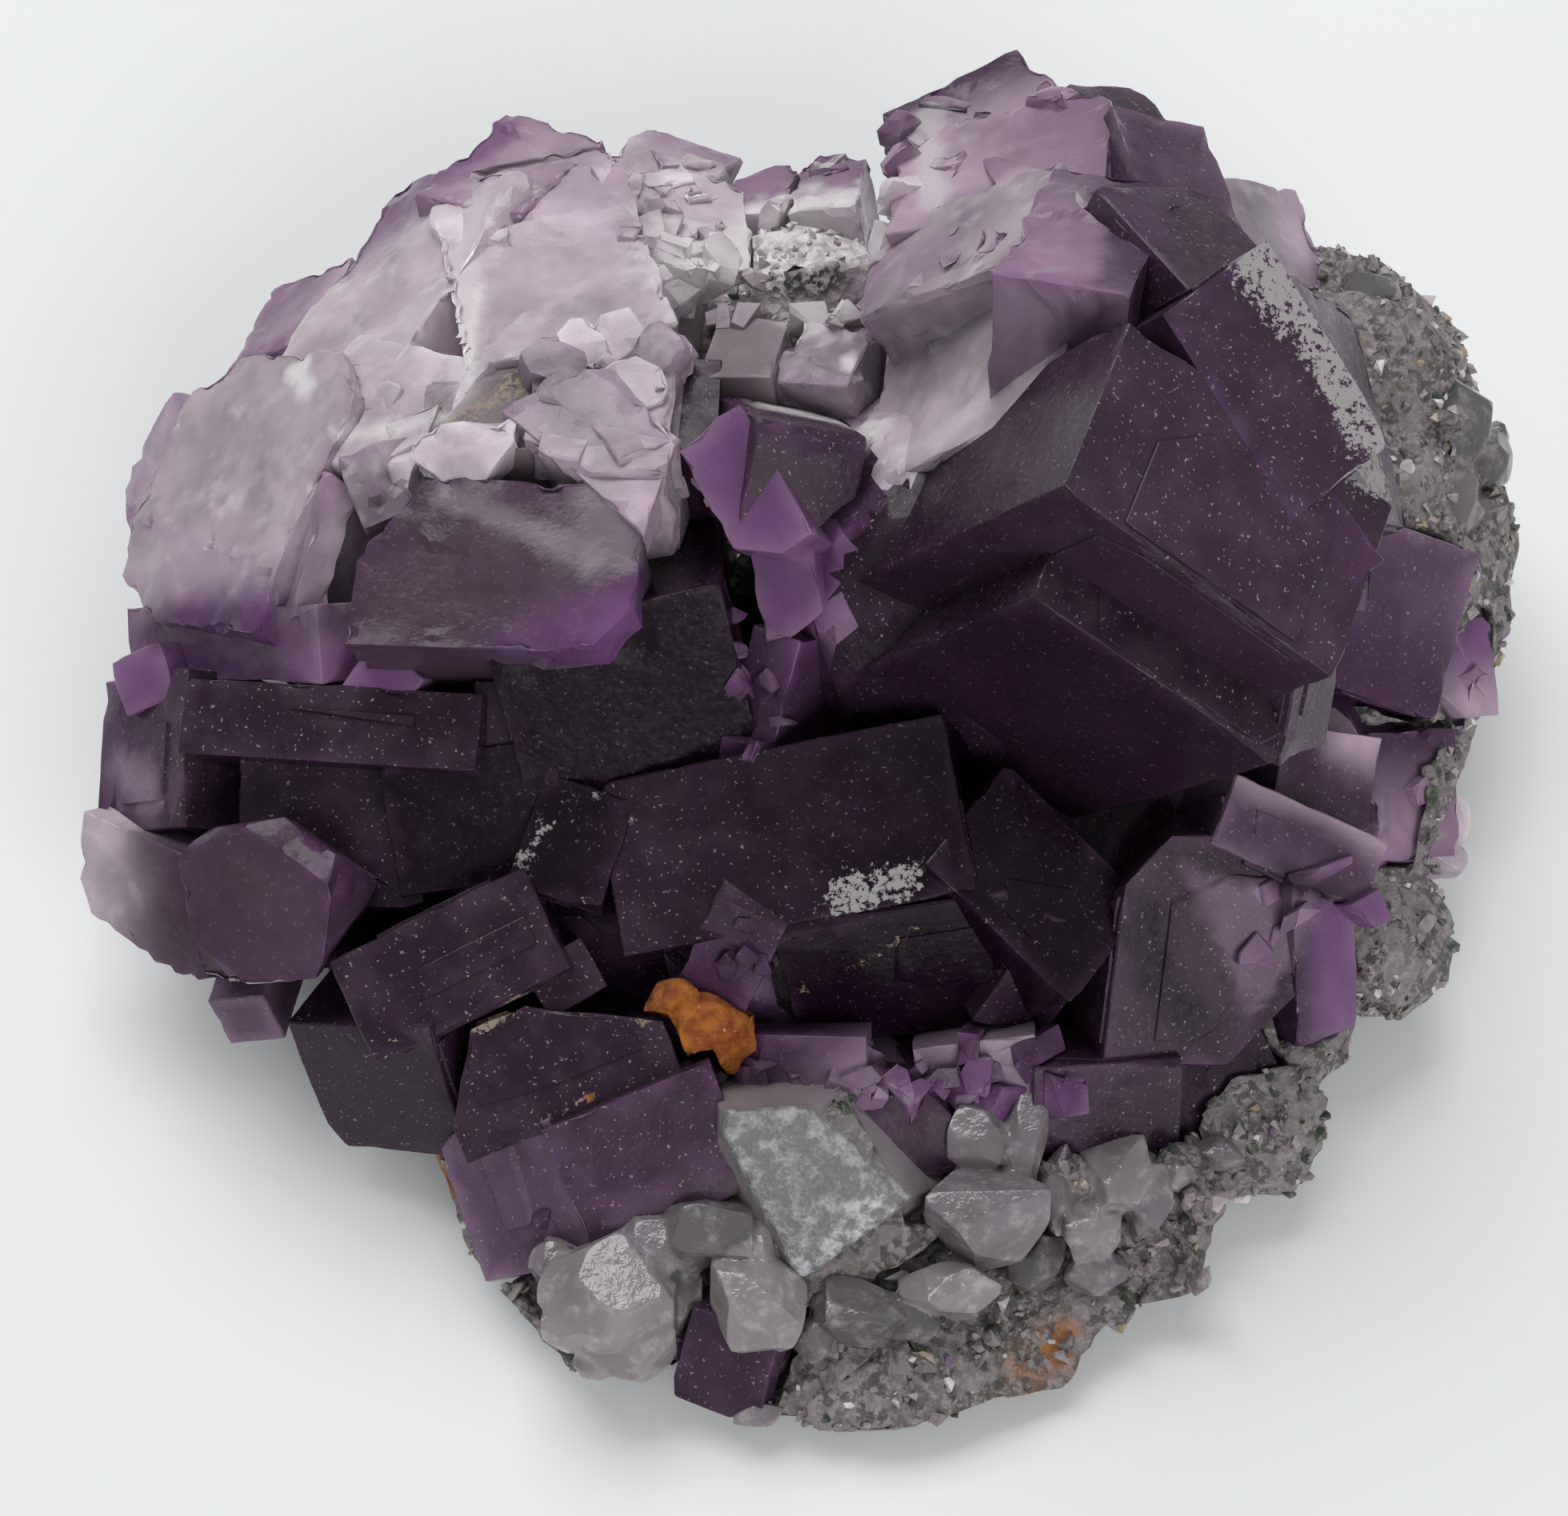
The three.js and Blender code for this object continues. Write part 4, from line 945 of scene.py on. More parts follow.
# A petal's trims: direction, and distance as a share of its length
PETAL_TRIMS = ((35, 0.42), (-35, 0.42), (150, 0.38), (-150, 0.38))
PETAL_DEPTH, SPLINTER_DEPTH = 1.6, 2.4
PALE_PETALS = 0.6  # share of the petals that are pale
# Random splinters: crystal and how many
SPLINTERS = [
    ("shards", 4), ("backMass", 5), ("backStep", 2), ("topPlane", 2), ("topFace", 2), ("topCrown", 2),
    ("middlePlane", 2), ("footLeft", 2), ("knobRight", 2), ("topMiddle", 2),
]
SPLINTER_SPREAD = 0.42  # how far from the middle of its face a splinter may lie, as a share of the face


def splinters():
    """Petals and splinters that lie on the broken crystals, nearly parallel to the face they broke from."""
    rng = random.Random(78)
    made = list(SHARDS.values())
    for angle, long, wide in PETALS:
        turn = math.radians(angle)
        out = Vector((math.cos(turn), math.sin(turn), 0))
        way = (Vector((0, -0.05, 1)) - out * rng.uniform(0.1, 0.3)).normalized()
        middle = Vector(PETALS_AT) + out * long * 0.5
        tone = "pale" if rng.random() < PALE_PETALS else "mist"
        trims = tuple((way_off, share * long, 0) for way_off, share in PETAL_TRIMS)
        made.append(crystal(tuple(middle), tuple(way), (long, wide, PETAL_DEPTH), angle, tone, trims=trims))
    for name, count in SPLINTERS:
        one = CRYSTALS[name]
        wide, high, _ = one["size"]
        x, y, z = face_axes(one["looks"], one["spin"])
        for _ in range(count):
            spot = Vector(one["at"]) + x * rng.uniform(-SPLINTER_SPREAD, SPLINTER_SPREAD) * wide
            spot = spot + y * rng.uniform(-SPLINTER_SPREAD, SPLINTER_SPREAD) * high
            way = (z + x * rng.gauss(0, 0.16) + y * rng.gauss(0, 0.16)).normalized()
            long = rng.uniform(1.2, 2.8)
            at = spot + way * rng.uniform(0.02, 0.2)
            shape = (long, rng.uniform(0.6, 0.9) * long, SPLINTER_DEPTH)
            spin = rng.uniform(0, 180)
            trim = (rng.uniform(0, 360), rng.uniform(0.2, 0.4) * long, rng.uniform(-20, 30))
            made.append(crystal(tuple(at), tuple(way), shape, spin, one["tone"], one["fade"], (trim,)))
    return made


# Shader nodes

class Net:
    """A material and short names for the nodes it needs."""

    def __init__(self, name):
        self.material = bpy.data.materials.new(name)
        self.material.use_nodes = True
        self.tree = self.material.node_tree
        self.tree.nodes.clear()
        self.out = self.tree.nodes.new("ShaderNodeOutputMaterial")
        self.shader = self.node("ShaderNodeBsdfPrincipled")
        self.link(self.shader.outputs["BSDF"], self.out.inputs["Surface"])
        self.place = self.node("ShaderNodeTexCoord").outputs["Object"]

    def node(self, kind):
        return self.tree.nodes.new(kind)

    def link(self, source, target):
        if isinstance(source, bpy.types.NodeSocket):
            self.tree.links.new(source, target)
        else:
            target.default_value = source

    def attribute(self, name, output="Color"):
        node = self.node("ShaderNodeAttribute")
        node.attribute_name = name
        return node.outputs[output]

    def parts(self, colour):
        node = self.node("ShaderNodeSeparateColor")
        self.link(colour, node.inputs[0])
        return node.outputs[0], node.outputs[1], node.outputs[2]

    def noise(self, size, detail=2.0, roughness=0.5):
        """Noise with features of a size in millimetres."""
        node = self.node("ShaderNodeTexNoise")
        self.link(self.place, node.inputs["Vector"])
        node.inputs["Scale"].default_value = 1 / (size * MM)
        node.inputs["Detail"].default_value = detail
        node.inputs["Roughness"].default_value = roughness
        return node.outputs["Fac"]

    def cells(self, size, output="Distance"):
        """Cells of a size in millimetres."""
        node = self.node("ShaderNodeTexVoronoi")
        self.link(self.place, node.inputs["Vector"])
        node.inputs["Scale"].default_value = 1 / (size * MM)
        return node.outputs[output]

    def math(self, operation, a, b=0.0, clamp=False):
        node = self.node("ShaderNodeMath")
        node.operation = operation
        node.use_clamp = clamp
        self.link(a, node.inputs[0])
        self.link(b, node.inputs[1])
        return node.outputs[0]

    def times(self, a, b):
        return self.math("MULTIPLY", a, b)

    def step(self, value, low, high, to_low=0.0, to_high=1.0):
        node = self.node("ShaderNodeMapRange")
        node.interpolation_type = "SMOOTHSTEP"
        self.link(value, node.inputs["Value"])
        for name, number in (("From Min", low), ("From Max", high), ("To Min", to_low), ("To Max", to_high)):
            node.inputs[name].default_value = number
        return node.outputs["Result"]

    def mix(self, share, a, b):
        node = self.node("ShaderNodeMix")
        node.data_type = "RGBA"
        self.link(share, node.inputs["Factor"])
        for socket, value in ((node.inputs[6], a), (node.inputs[7], b)):
            if isinstance(value, tuple):
                socket.default_value = (*value, 1)
            else:
                self.link(value, socket)
        return node.outputs[2]

    def up(self):
        """How far the surface faces upwards, -1 to 1."""
        node = self.node("ShaderNodeSeparateXYZ")
        self.link(self.node("ShaderNodeNewGeometry").outputs["Normal"], node.inputs[0])
        return node.outputs["Z"]

    def bump(self, height, distance, strength=1.0, onto=None):
        """A bump of a height in millimetres."""
        node = self.node("ShaderNodeBump")
        node.inputs["Strength"].default_value = strength
        node.inputs["Distance"].default_value = distance * MM
        self.link(height, node.inputs["Height"])
        if onto is not None:
            self.link(onto, node.inputs["Normal"])
        return node.outputs["Normal"]

    def set(self, name, value):
        self.link(value, self.shader.inputs[name])


FLUORITE_IOR, QUARTZ_IOR, ROCK_IOR = 1.434, 1.544, 1.54
FLUORITE_ABSORBS, FLUORITE_DENSITY = (0.50, 0.16, 0.60, 1), 160
FILM_TONE, SPECK_TONE, MILKY_TONE = (0.27, 0.22, 0.26), (0.50, 0.47, 0.45), (0.86, 0.84, 0.86)


def fluorite_material():
    """Dark to clear fluorite: dust on upward faces, milky breaks, and crusts where painted."""
    net = Net("fluorite")
    dusty, broken, _ = net.parts(net.attribute("state"))
    cloud = net.noise(1.6, 2, 0.55)
    fine = net.noise(0.28, 2, 0.6)
    upward = net.step(net.up(), 0.1, 0.95)
    film = net.times(net.times(dusty, upward), net.step(cloud, 0.35, 0.7, 0.15, 1.0))
    colour = net.mix(net.times(film, 0.11), net.attribute("tint"), FILM_TONE)
    specks = net.times(net.step(net.noise(0.15, 1), 0.64, 0.72), net.step(fine, 0.45, 0.6, 0.0, 1.2))
    specks = net.times(net.times(specks, dusty), net.step(net.up(), -0.2, 0.8, 0.2, 0.8))
    colour = net.mix(specks, colour, SPECK_TONE)
    milky = net.times(net.step(broken, 0.45, 0.9), net.step(cloud, 0.55, 0.80))
    colour = net.mix(net.times(milky, 0.35), colour, MILKY_TONE)
    ragged = net.times(net.math("SUBTRACT", net.noise(0.32, 3, 0.75), 0.5), 2.0)
    laid_on = net.math("ADD", net.times(net.attribute("cover", "Alpha"), 0.8), ragged)
    crust = net.step(laid_on, 0.42, 0.6, 0.0, 0.75)
    net.set("Base Color", net.mix(crust, colour, net.attribute("cover")))
    rough = net.math("ADD", net.times(film, 0.35), net.step(fine, 0.3, 0.7, 0.14, 0.28))
    net.set("Roughness", net.math("ADD", rough, net.times(crust, 0.5), clamp=True))
    net.set("IOR", FLUORITE_IOR)
    net.set("Specular IOR Level", 0.18)
    clear = net.math("SUBTRACT", net.step(broken, 0.3, 0.9, 0.28, 0.20), net.times(film, 0.2))
    net.set("Transmission Weight", net.math("SUBTRACT", clear, net.times(crust, 0.5), clamp=True))
    net.set("Normal", net.bump(net.noise(0.45, 2, 0.7), 0.05, 0.5))
    volume = net.node("ShaderNodeVolumeAbsorption")
    volume.inputs["Color"].default_value = FLUORITE_ABSORBS
    volume.inputs["Density"].default_value = FLUORITE_DENSITY
    net.link(volume.outputs["Volume"], net.out.inputs["Volume"])
    return net.material


def rock_material():
    """Grey granular rock with milky quartz in its hollow, green specks and orange stains where painted."""
    net = Net("quartz_rock")
    shade = net.parts(net.cells(0.7, "Color"))[0]
    colour = net.mix(net.step(shade, 0.2, 0.8), (0.08, 0.072, 0.068), (0.20, 0.175, 0.178))
    colour = net.mix(net.step(net.noise(0.35, 3, 0.7), 0.45, 0.65), colour, (0.27, 0.24, 0.245))
    colour = net.mix(net.step(net.noise(2.4, 3, 0.6), 0.55, 0.75, 0.0, 0.6), colour, (0.12, 0.13, 0.10))
    stain, clear, green = net.parts(net.attribute("stain"))
    milk = net.mix(net.step(net.noise(0.6, 4, 0.65), 0.35, 0.65), (0.42, 0.38, 0.39), (0.78, 0.74, 0.76))
    colour = net.mix(clear, colour, milk)
    speck = net.step(net.noise(0.3, 3, 0.6), 0.44, 0.54)
    colour = net.mix(net.times(green, speck), colour, (0.035, 0.045, 0.02))
    rust = net.times(stain, net.step(net.noise(0.8, 3, 0.6), 0.35, 0.6))
    colour = net.mix(rust, colour, (0.42, 0.16, 0.03))
    net.set("Base Color", colour)
    net.set("Roughness", net.step(net.noise(0.4, 2), 0.3, 0.7, 0.35, 0.8))
    net.set("IOR", ROCK_IOR)
    first = net.bump(net.cells(0.55), 0.25, 0.8)
    net.set("Normal", net.bump(net.noise(0.18, 2, 0.7), 0.08, 0.7, first))
    return net.material


def grain_material():
    """Loose grains, each in its own tone with paler clouds."""
    net = Net("quartz_grains")
    cloud = net.step(net.noise(0.5, 3, 0.6), 0.45, 0.75, 0.0, 0.35)
    net.set("Base Color", net.mix(cloud, net.attribute("tint"), (0.55, 0.55, 0.53)))
    net.set("Roughness", net.step(net.noise(0.3, 2), 0.3, 0.7, 0.12, 0.5))
    net.set("IOR", ROCK_IOR)
    net.set("Normal", net.bump(net.noise(0.2, 2, 0.6), 0.03, 0.5))
    return net.material


def clear_quartz_material():
    """Half-clear quartz with faint white veils."""
    net = Net("clear_quartz")
    veil = net.step(net.noise(0.9, 4, 0.65), 0.45, 0.75)
    net.set("Base Color", net.mix(net.times(veil, 0.3), net.attribute("tint"), (0.66, 0.63, 0.65)))
    net.set("Roughness", net.step(net.noise(0.3, 2, 0.6), 0.35, 0.7, 0.05, 0.20))
    net.set("IOR", QUARTZ_IOR)
    net.set("Transmission Weight", net.step(veil, 0, 1, 0.38, 0.20))
    net.set("Normal", net.bump(net.noise(0.7, 3, 0.6), 0.10, 0.6))
    return net.material


def frosted_material():
    """Quartz with a patchy white crust on its show face."""
    net = Net("frosted_quartz")
    _, face, bright = net.parts(net.attribute("frost"))
    crust = net.times(net.step(net.noise(0.7, 5, 0.7), 0.36, 0.66), face)
    body = net.mix(face, (0.34, 0.295, 0.315), (0.24, 0.23, 0.23))
    white = net.mix(bright, (0.40, 0.40, 0.41), (0.62, 0.625, 0.64))
    net.set("Base Color", net.mix(crust, body, white))
    net.set("Roughness", net.step(crust, 0, 1, 0.25, 0.75))
    net.set("IOR", QUARTZ_IOR)
    net.set("Transmission Weight", net.step(crust, 0, 1, 0.35, 0.05))
    first = net.bump(crust, 0.10, 0.8)
    net.set("Normal", net.bump(net.noise(0.2, 4, 0.7), 0.05, 0.6, first))
    return net.material


def clay_material():
    """Dull orange clay with paler specks."""
    net = Net("iron_clay")
    colour = net.mix(net.step(net.noise(0.7, 4, 0.65), 0.35, 0.65), (0.20, 0.048, 0.009), (0.37, 0.12, 0.02))
    net.set("Base Color", net.mix(net.step(net.noise(0.2, 3), 0.66, 0.8), colour, (0.62, 0.40, 0.18)))
    net.set("Roughness", net.step(net.noise(0.3, 2), 0.3, 0.7, 0.75, 0.98))
    net.set("Normal", net.bump(net.noise(0.25, 5, 0.7), 0.12, 0.9))
    return net.material


# The rock

# Orange stains: middle and reach
STAINS = [
    ((29.6, 21.4, 10), 2.4), ((32, 22, 9), 1.6), ((10.9, -20.4, 1.2), 1.5), ((9.2, -21.4, 0.8), 1.5),
    ((18.2, -16.5, 2), 1.5), ((15.4, -18.1, 1.2), 0.9), ((-22, 21, 9), 2.4), ((-27, 0, 4), 2.0),
    ((16, 24, 12), 2.2),
    ((-14, -14, 3), 1.8), ((2, 27, 10), 2.0),
]
# The hollow at the back, lined with clear quartz, and its line of dark green specks: path and reach
HOLLOW = (((-4.1, 21.6, 17), (0.5, 21.5, 17), (2.8, 21.6, 17.4), (3.6, 17, 20.5)), 7)
SPECKS = (((-0.8, 20.3, 17), (0.6, 20.2, 17), (2.3, 20.5, 17), (3.4, 16.6, 21)), 0.9)
# Points lower than the first are a stone's underside, and the others stay above the second
FLAT_FOOT, LOWEST_SIDE = 0.02, 0.03


def cad_copy(node, shift):
    """A node's mesh, copied into the lists' own millimetres."""
    mesh = bpy.data.objects[node].data.copy()
    mesh.materials.clear()
    set_coordinates(mesh, coordinates(mesh) / MM - shift)
    return mesh


def weather(mesh, seed, coarse, fine):
    """Roughens a stone's surface, but leaves its flat underside flat."""
    co = coordinates(mesh)
    move = coarse * field(co, 1.7, seed) + fine * field(co, 0.55, seed + 1)
    side = vertex_normals(mesh)
    foot = co[:, 2] < FLAT_FOOT
    side[foot] = 0
    co = co + side * move[:, None]
    co[~foot, 2] = np.maximum(co[~foot, 2], LOWEST_SIDE)
    set_coordinates(mesh, co)


def stain(mesh):
    """Marks the rock: orange stains in red, the quartz of the hollow in green, dark specks in blue."""
    co = coordinates(mesh)
    amount = np.zeros((len(co), 4))
    amount[:, 3] = 1
    for middle, reach in STAINS:
        near = np.linalg.norm(co - np.array(middle), axis=1)
        amount[:, 0] = np.maximum(amount[:, 0], smooth_step(reach, 0.3 * reach, near))
    amount[:, 1] = smooth_step(HOLLOW[1], 0.7 * HOLLOW[1], path_distance(co, HOLLOW[0]))
    amount[:, 2] = smooth_step(SPECKS[1], 0.4 * SPECKS[1], path_distance(co, SPECKS[0]))
    add_colours(mesh, "stain", "POINT", amount)


def surface_points(mesh, count, rng):
    """Random points on a mesh, spread by area: places and normals."""
    mesh.calc_loop_triangles()
    corners = np.array([t.vertices[:] for t in mesh.loop_triangles])
    co = coordinates(mesh)
    a, b, c = co[corners[:, 0]], co[corners[:, 1]], co[corners[:, 2]]
    cross = np.cross(b - a, c - a)
    area = np.linalg.norm(cross, axis=1)
    pick = rng.choice(len(area), count, p=area / area.sum())
    u, v = rng.random(count), rng.random(count)
    turn = u + v > 1
    u[turn], v[turn] = 1 - u[turn], 1 - v[turn]
    places = a[pick] + (b - a)[pick] * u[:, None] + (c - a)[pick] * v[:, None]
    return places, cross[pick] / area[pick, None]


GRAIN_CORNERS = 11


def pebble_shapes(count, rng):
    """Angular grains of about unit radius: vertices and triangles."""
    shapes = []
    for _ in range(count):
        bm = bmesh.new()
        for _ in range(GRAIN_CORNERS):
            way = rng.normal(size=3)
            bm.verts.new(way / np.linalg.norm(way) * rng.uniform(0.75, 1.05))
        hull = bmesh.ops.convex_hull(bm, input=bm.verts[:])
        loose = [g for g in hull["geom_interior"] if isinstance(g, bmesh.types.BMVert)]
        bmesh.ops.delete(bm, geom=loose, context="VERTS")
        bm.verts.index_update()
        triangles = np.array([[v.index for v in f.verts] for f in bm.faces])
        shapes.append((np.array([v.co for v in bm.verts]), triangles))
        bm.free()
    return shapes


GRAIN_TONES = [
    (0.56, 0.52, 0.52), (0.32, 0.27, 0.28), (0.21, 0.175, 0.18), (0.11, 0.10, 0.09), (0.04, 0.05, 0.035),
    (0.34, 0.26, 0.18), (0.13, 0.075, 0.13),
]
# How common each of those tones is in each part of the rock
GRAIN_SHARES = {
    "rock": [0.10, 0.22, 0.26, 0.22, 0.14, 0.03, 0.03],
    "clear": [0.62, 0.26, 0.05, 0.02, 0.05, 0.0, 0.0],
    "green": [0.10, 0.10, 0.15, 0.25, 0.40, 0.0, 0.0],
    "tip": [0.04, 0.12, 0.16, 0.20, 0.12, 0.04, 0.32],
}
TIP, TIP_REACH = (-1, -22.6, 2), 3.4  # the purplish point of the front rim
GRAIN_SHAPES, GRAIN_COUNT = 12, 16000
STEEPEST_SEAT, LOWEST_SEAT = -0.35, 0.5  # no grains under overhangs or at the very foot
SKY, SKY_REACH = (0, 0, 0.8), 6  # a grain needs an open way towards the sky this far
QUARTZ_CLEARANCE, FROSTED_CLEARANCE = 1.15, 4.0
LARGEST_GRAIN, GRAIN_LIFT = 0.75, 0.8  # the largest radius, and the largest as a share of the height


def open_to_sky(place, normal, fluorite_tree):
    """Whether a grain may sit here: clear of the fluorite, the quartz and the frosted crystal."""
    if normal[2] < STEEPEST_SEAT or place[2] < LOWEST_SEAT:
        return False
    way = Vector(normal) * 0.6 + Vector(SKY)
    start = Vector(place) + Vector(normal) * 0.2
    if fluorite_tree.ray_cast(start, way.normalized(), SKY_REACH)[0] is not None:
        return False
    if any(ellipsoid(place, middle, radii) < QUARTZ_CLEARANCE for middle, radii, _ in QUARTZ):
        return False
    return math.dist(place, FROSTED["at"]) >= FROSTED_CLEARANCE


def grain_kind(place):
    """Which part of the rock a place belongs to."""
    if path_distance(place[None], SPECKS[0])[0] < SPECKS[1]:
        return "green"
    if path_distance(place[None], HOLLOW[0])[0] < HOLLOW[1]:
        return "clear"
    return "tip" if math.dist(place, TIP) < TIP_REACH else "rock"


def grains(rock, fluorite_tree, count, name):
    """Loose-grained crust: angular grains half sunk in the rock wherever it is open to the sky."""
    rng = np.random.default_rng(5)
    shapes = pebble_shapes(GRAIN_SHAPES, rng)
    places, normals = surface_points(rock, count, rng)
    co, faces, tints = [], [], []
    total = 0
    for place, normal in zip(places, normals):
        if not open_to_sky(place, normal, fluorite_tree):
            continue
        radius = min(float(rng.lognormal(-1.5, 0.42)), LARGEST_GRAIN, place[2] * GRAIN_LIFT)
        turn = Vector(rng.normal(size=3)).normalized()
        matrix = np.array(Matrix.Rotation(rng.uniform(0, 6.28), 3, turn))
        verts, tris = shapes[rng.integers(len(shapes))]
        size = radius * rng.uniform(0.75, 1.25, 3)
        co.append((verts * size) @ matrix.T + place)
        faces.append(tris + total)
        total += len(verts)
        tone = np.array(GRAIN_TONES[rng.choice(len(GRAIN_TONES), p=GRAIN_SHARES[grain_kind(place)])])
        tone = tone * rng.uniform(0.8, 1.15)
        tints.append(np.tile((*np.clip(tone, 0, 1), 1.0), (len(verts), 1)))
    mesh = bpy.data.meshes.new(name)
    mesh.from_pydata(np.concatenate(co).tolist(), [], np.concatenate(faces).tolist())
    add_colours(mesh, "tint", "POINT", np.concatenate(tints))
    mesh.update()
    return mesh


# Quartz crystals on the rim: middle, radii and tone
QUARTZ = [
    ((-6.8, -19.2, 4.0), (2.5, 2.2, 2.1), "milk"), ((-6.1, -20.8, 3.0), (1.9, 1.5, 1.5), "milk"),
    ((-5.1, -17.4, 4.7), (1.4, 1.2, 1.2), "veil"), ((-9.0, -18.0, 3.8), (1.0, 0.8, 0.9), "veil"),
    ((-1.1, -19.4, 4.2), (1.9, 1.9, 1.7), "milk"), ((-1.0, -17.7, 4.7), (0.7, 1.4, 0.9), "milk"),
    ((-3.2, -16.9, 4.7), (1.9, 1.5, 1.5), "haze"), ((-4.2, -18.9, 3.3), (1.0, 1.5, 1.2), "haze"),
    ((7.7, -13.5, 5.4), (1.3, 1.4, 1.3), "veil"), ((9.3, -13.5, 5.2), (1.0, 1.7, 1.2), "veil"),
    ((7.8, -16.2, 4.8), (2.3, 1.8, 1.8), "veil"), ((6.4, -18.9, 3.6), (1.9, 1.1, 1.2), "milk"),
    ((10.7, -15.3, 4.2), (0.8, 1.6, 1.1), "veil"), ((13.2, -14.6, 4.4), (1.5, 1.4, 1.3), "milk"),
    ((12.1, -16.5, 3.9), (1.2, 1.3, 1.2), "milk"), ((14.2, -15.3, 4.0), (1.0, 1.6, 1.1), "veil"),
    ((15.5, -14.3, 4.1), (0.7, 0.8, 0.8), "milk"), ((17.2, -13.6, 4.0), (1.0, 0.7, 0.8), "veil"),
    ((12.2, -18.0, 2.8), (1.3, 0.9, 0.9), "veil"), ((9.8, -17.6, 3.0), (1.2, 1.2, 1.0), "haze"),
    ((3.0, -19.7, 3.2), (1.8, 1.2, 1.2), "haze"), ((4.9, -19.8, 2.8), (1.1, 1.0, 1.0), "haze"),
    ((1.2, -20.6, 2.6), (0.8, 0.9, 0.8), "veil"), ((-1.0, -23.2, 1.6), (0.9, 0.5, 0.6), "veil"),
    ((28.2, 16.6, 12.4), (2.4, 2.4, 2.1), "haze"), ((28.4, 13.6, 11.0), (1.8, 2.0, 1.8), "veil"),
    ((30.4, 16.0, 10.4), (1.6, 1.8, 1.6), "haze"), ((25.2, 20.4, 15.6), (1.2, 1.6, 1.2), "haze"),
]
QUARTZ_TONES = {"milk": (0.35, 0.31, 0.32), "veil": (0.26, 0.22, 0.245), "haze": (0.16, 0.145, 0.15)}
FROSTED = crystal((2.0, -16.6, 5.9), (0.1, -0.64, 0.76), (9.0, 8.4, 5), 0, "pale", None,
    ((46, 1.9, -30), (-54, 1.1, -35), (-155, 2.1, -30)))


def ellipsoid(point, middle, radii):
    """How far a point is from the middle of an ellipsoid, where 1 is its surface."""
    return math.sqrt(sum(((point[k] - middle[k]) / radii[k]) ** 2 for k in range(3)))


NUGGET_FACETS, NUGGET_REACH = 22, (0.84, 1.0)
NUGGET_BEVEL = 0.2
# The stone inside a quartz crystal: how far around it stone counts as inside, where 1 is its surface,
# and how much that stone shrinks and sinks
CORE_REACH, CORE_SHRINK, CORE_SINK = 1.3, 0.5, 0.3
ROUNDING = 0.5  # how far a pass of rounding draws a point towards its neighbours


def nugget(middle, radii, rng, name):
    """A stubby crystal with uneven facets and worn edges."""
    bm = bmesh.new()
    bmesh.ops.create_cube(bm, size=2.1)
    for _ in range(NUGGET_FACETS):
        way = random_vector(rng).normalized()
        cut(bm, way, way * rng.uniform(*NUGGET_REACH))
    stretch(bm, middle, radii)
    return finish_block(bm, NUGGET_BEVEL * min(radii), name, 2)


def shrink_cores(mesh):
    """Draws the stone back inside the quartz crystals that stand on it."""
    co = coordinates(mesh)
    for middle, radii, _ in QUARTZ:
        offset = co - np.array(middle)
        far = np.linalg.norm(offset / np.array(radii), axis=1)
        near = (far < CORE_REACH) & (co[:, 2] > 0.3)
        co[near] = np.array(middle) + offset[near] * CORE_SHRINK - np.array((0, 0, CORE_SINK * radii[2]))
    co[:, 2] = np.maximum(co[:, 2], 0)
    set_coordinates(mesh, co)


def round_off(mesh, passes):
    """Rounds edges and corners by drawing each point towards its neighbours."""
    bm = bmesh.new()
    bm.from_mesh(mesh)
    for _ in range(passes):
        bmesh.ops.smooth_vert(
            bm, verts=bm.verts[:], factor=ROUNDING, use_axis_x=True, use_axis_y=True, use_axis_z=True)
    bm.to_mesh(mesh)
    bm.free()


def quartz_cluster():
    """The rim's quartz crystals as one mesh, each point tinted by the crystal it belongs to."""
    rng = random.Random(31)
    objects = []
    for number, (middle, radii, _) in enumerate(QUARTZ):
        objects.append(nugget(middle, radii, rng, f"quartz{number}"))
        for k in range(2):
            part = [r * rng.uniform(0.35, 0.5) for r in radii]
            spot = [middle[i] + 0.75 * radii[i] * rng.uniform(-1, 1) for i in range(3)]
            spot[2] = max(min(spot[2], middle[2]), part[2] + 0.1)
            objects.append(nugget(spot, part, rng, f"quartz{number}_{k}"))
    mesh = union(objects, "quartz_points")
    refine(mesh, 0.35)
    round_off(mesh, 4)
    co = coordinates(mesh)
    far = np.array([np.linalg.norm((co - np.array(m)) / np.array(r), axis=1) for m, r, _ in QUARTZ])
    tones = np.array([QUARTZ_TONES[tone] for _, _, tone in QUARTZ])[far.argmin(0)]
    tint = np.concatenate([tones * (1 + 0.2 * field(co, 1.5, 6))[:, None], np.ones((len(co), 1))], axis=1)
    add_colours(mesh, "tint", "POINT", tint)
    return mesh


def frosted_crystal():
    """The frosted crystal: frosted all over its show face, and whiter towards its lower right corner."""
    bm = trimmed_block(FROSTED)
    chip(bm, random.Random(9), 4, (0.1, 0.4))
    made = finish_block(bm, 0.2, "frosted", 2)
    mesh = made.data
    bpy.data.objects.remove(made)
    refine(mesh, 0.4)
    co = coordinates(mesh)
    x, y, z = (np.array(a) for a in face_axes(FROSTED["looks"], FROSTED["spin"]))
    local = co - np.array(FROSTED["at"])
    frost = np.zeros((len(co), 4))
    frost[:, 1] = smooth_step(-0.5, -0.1, local @ z + 0.15 * field(co, 0.8, 16))
    frost[:, 2] = smooth_step(-1, 2, local @ x - local @ y + 0.8 * field(co, 1.5, 17))
    frost[:, 3] = 1
    add_colours(mesh, "frost", "POINT", frost)
    weather(mesh, seed=51, coarse=0.08, fine=0.04)
    return mesh


# Build everything in the lists' millimetres, then move it to the frame

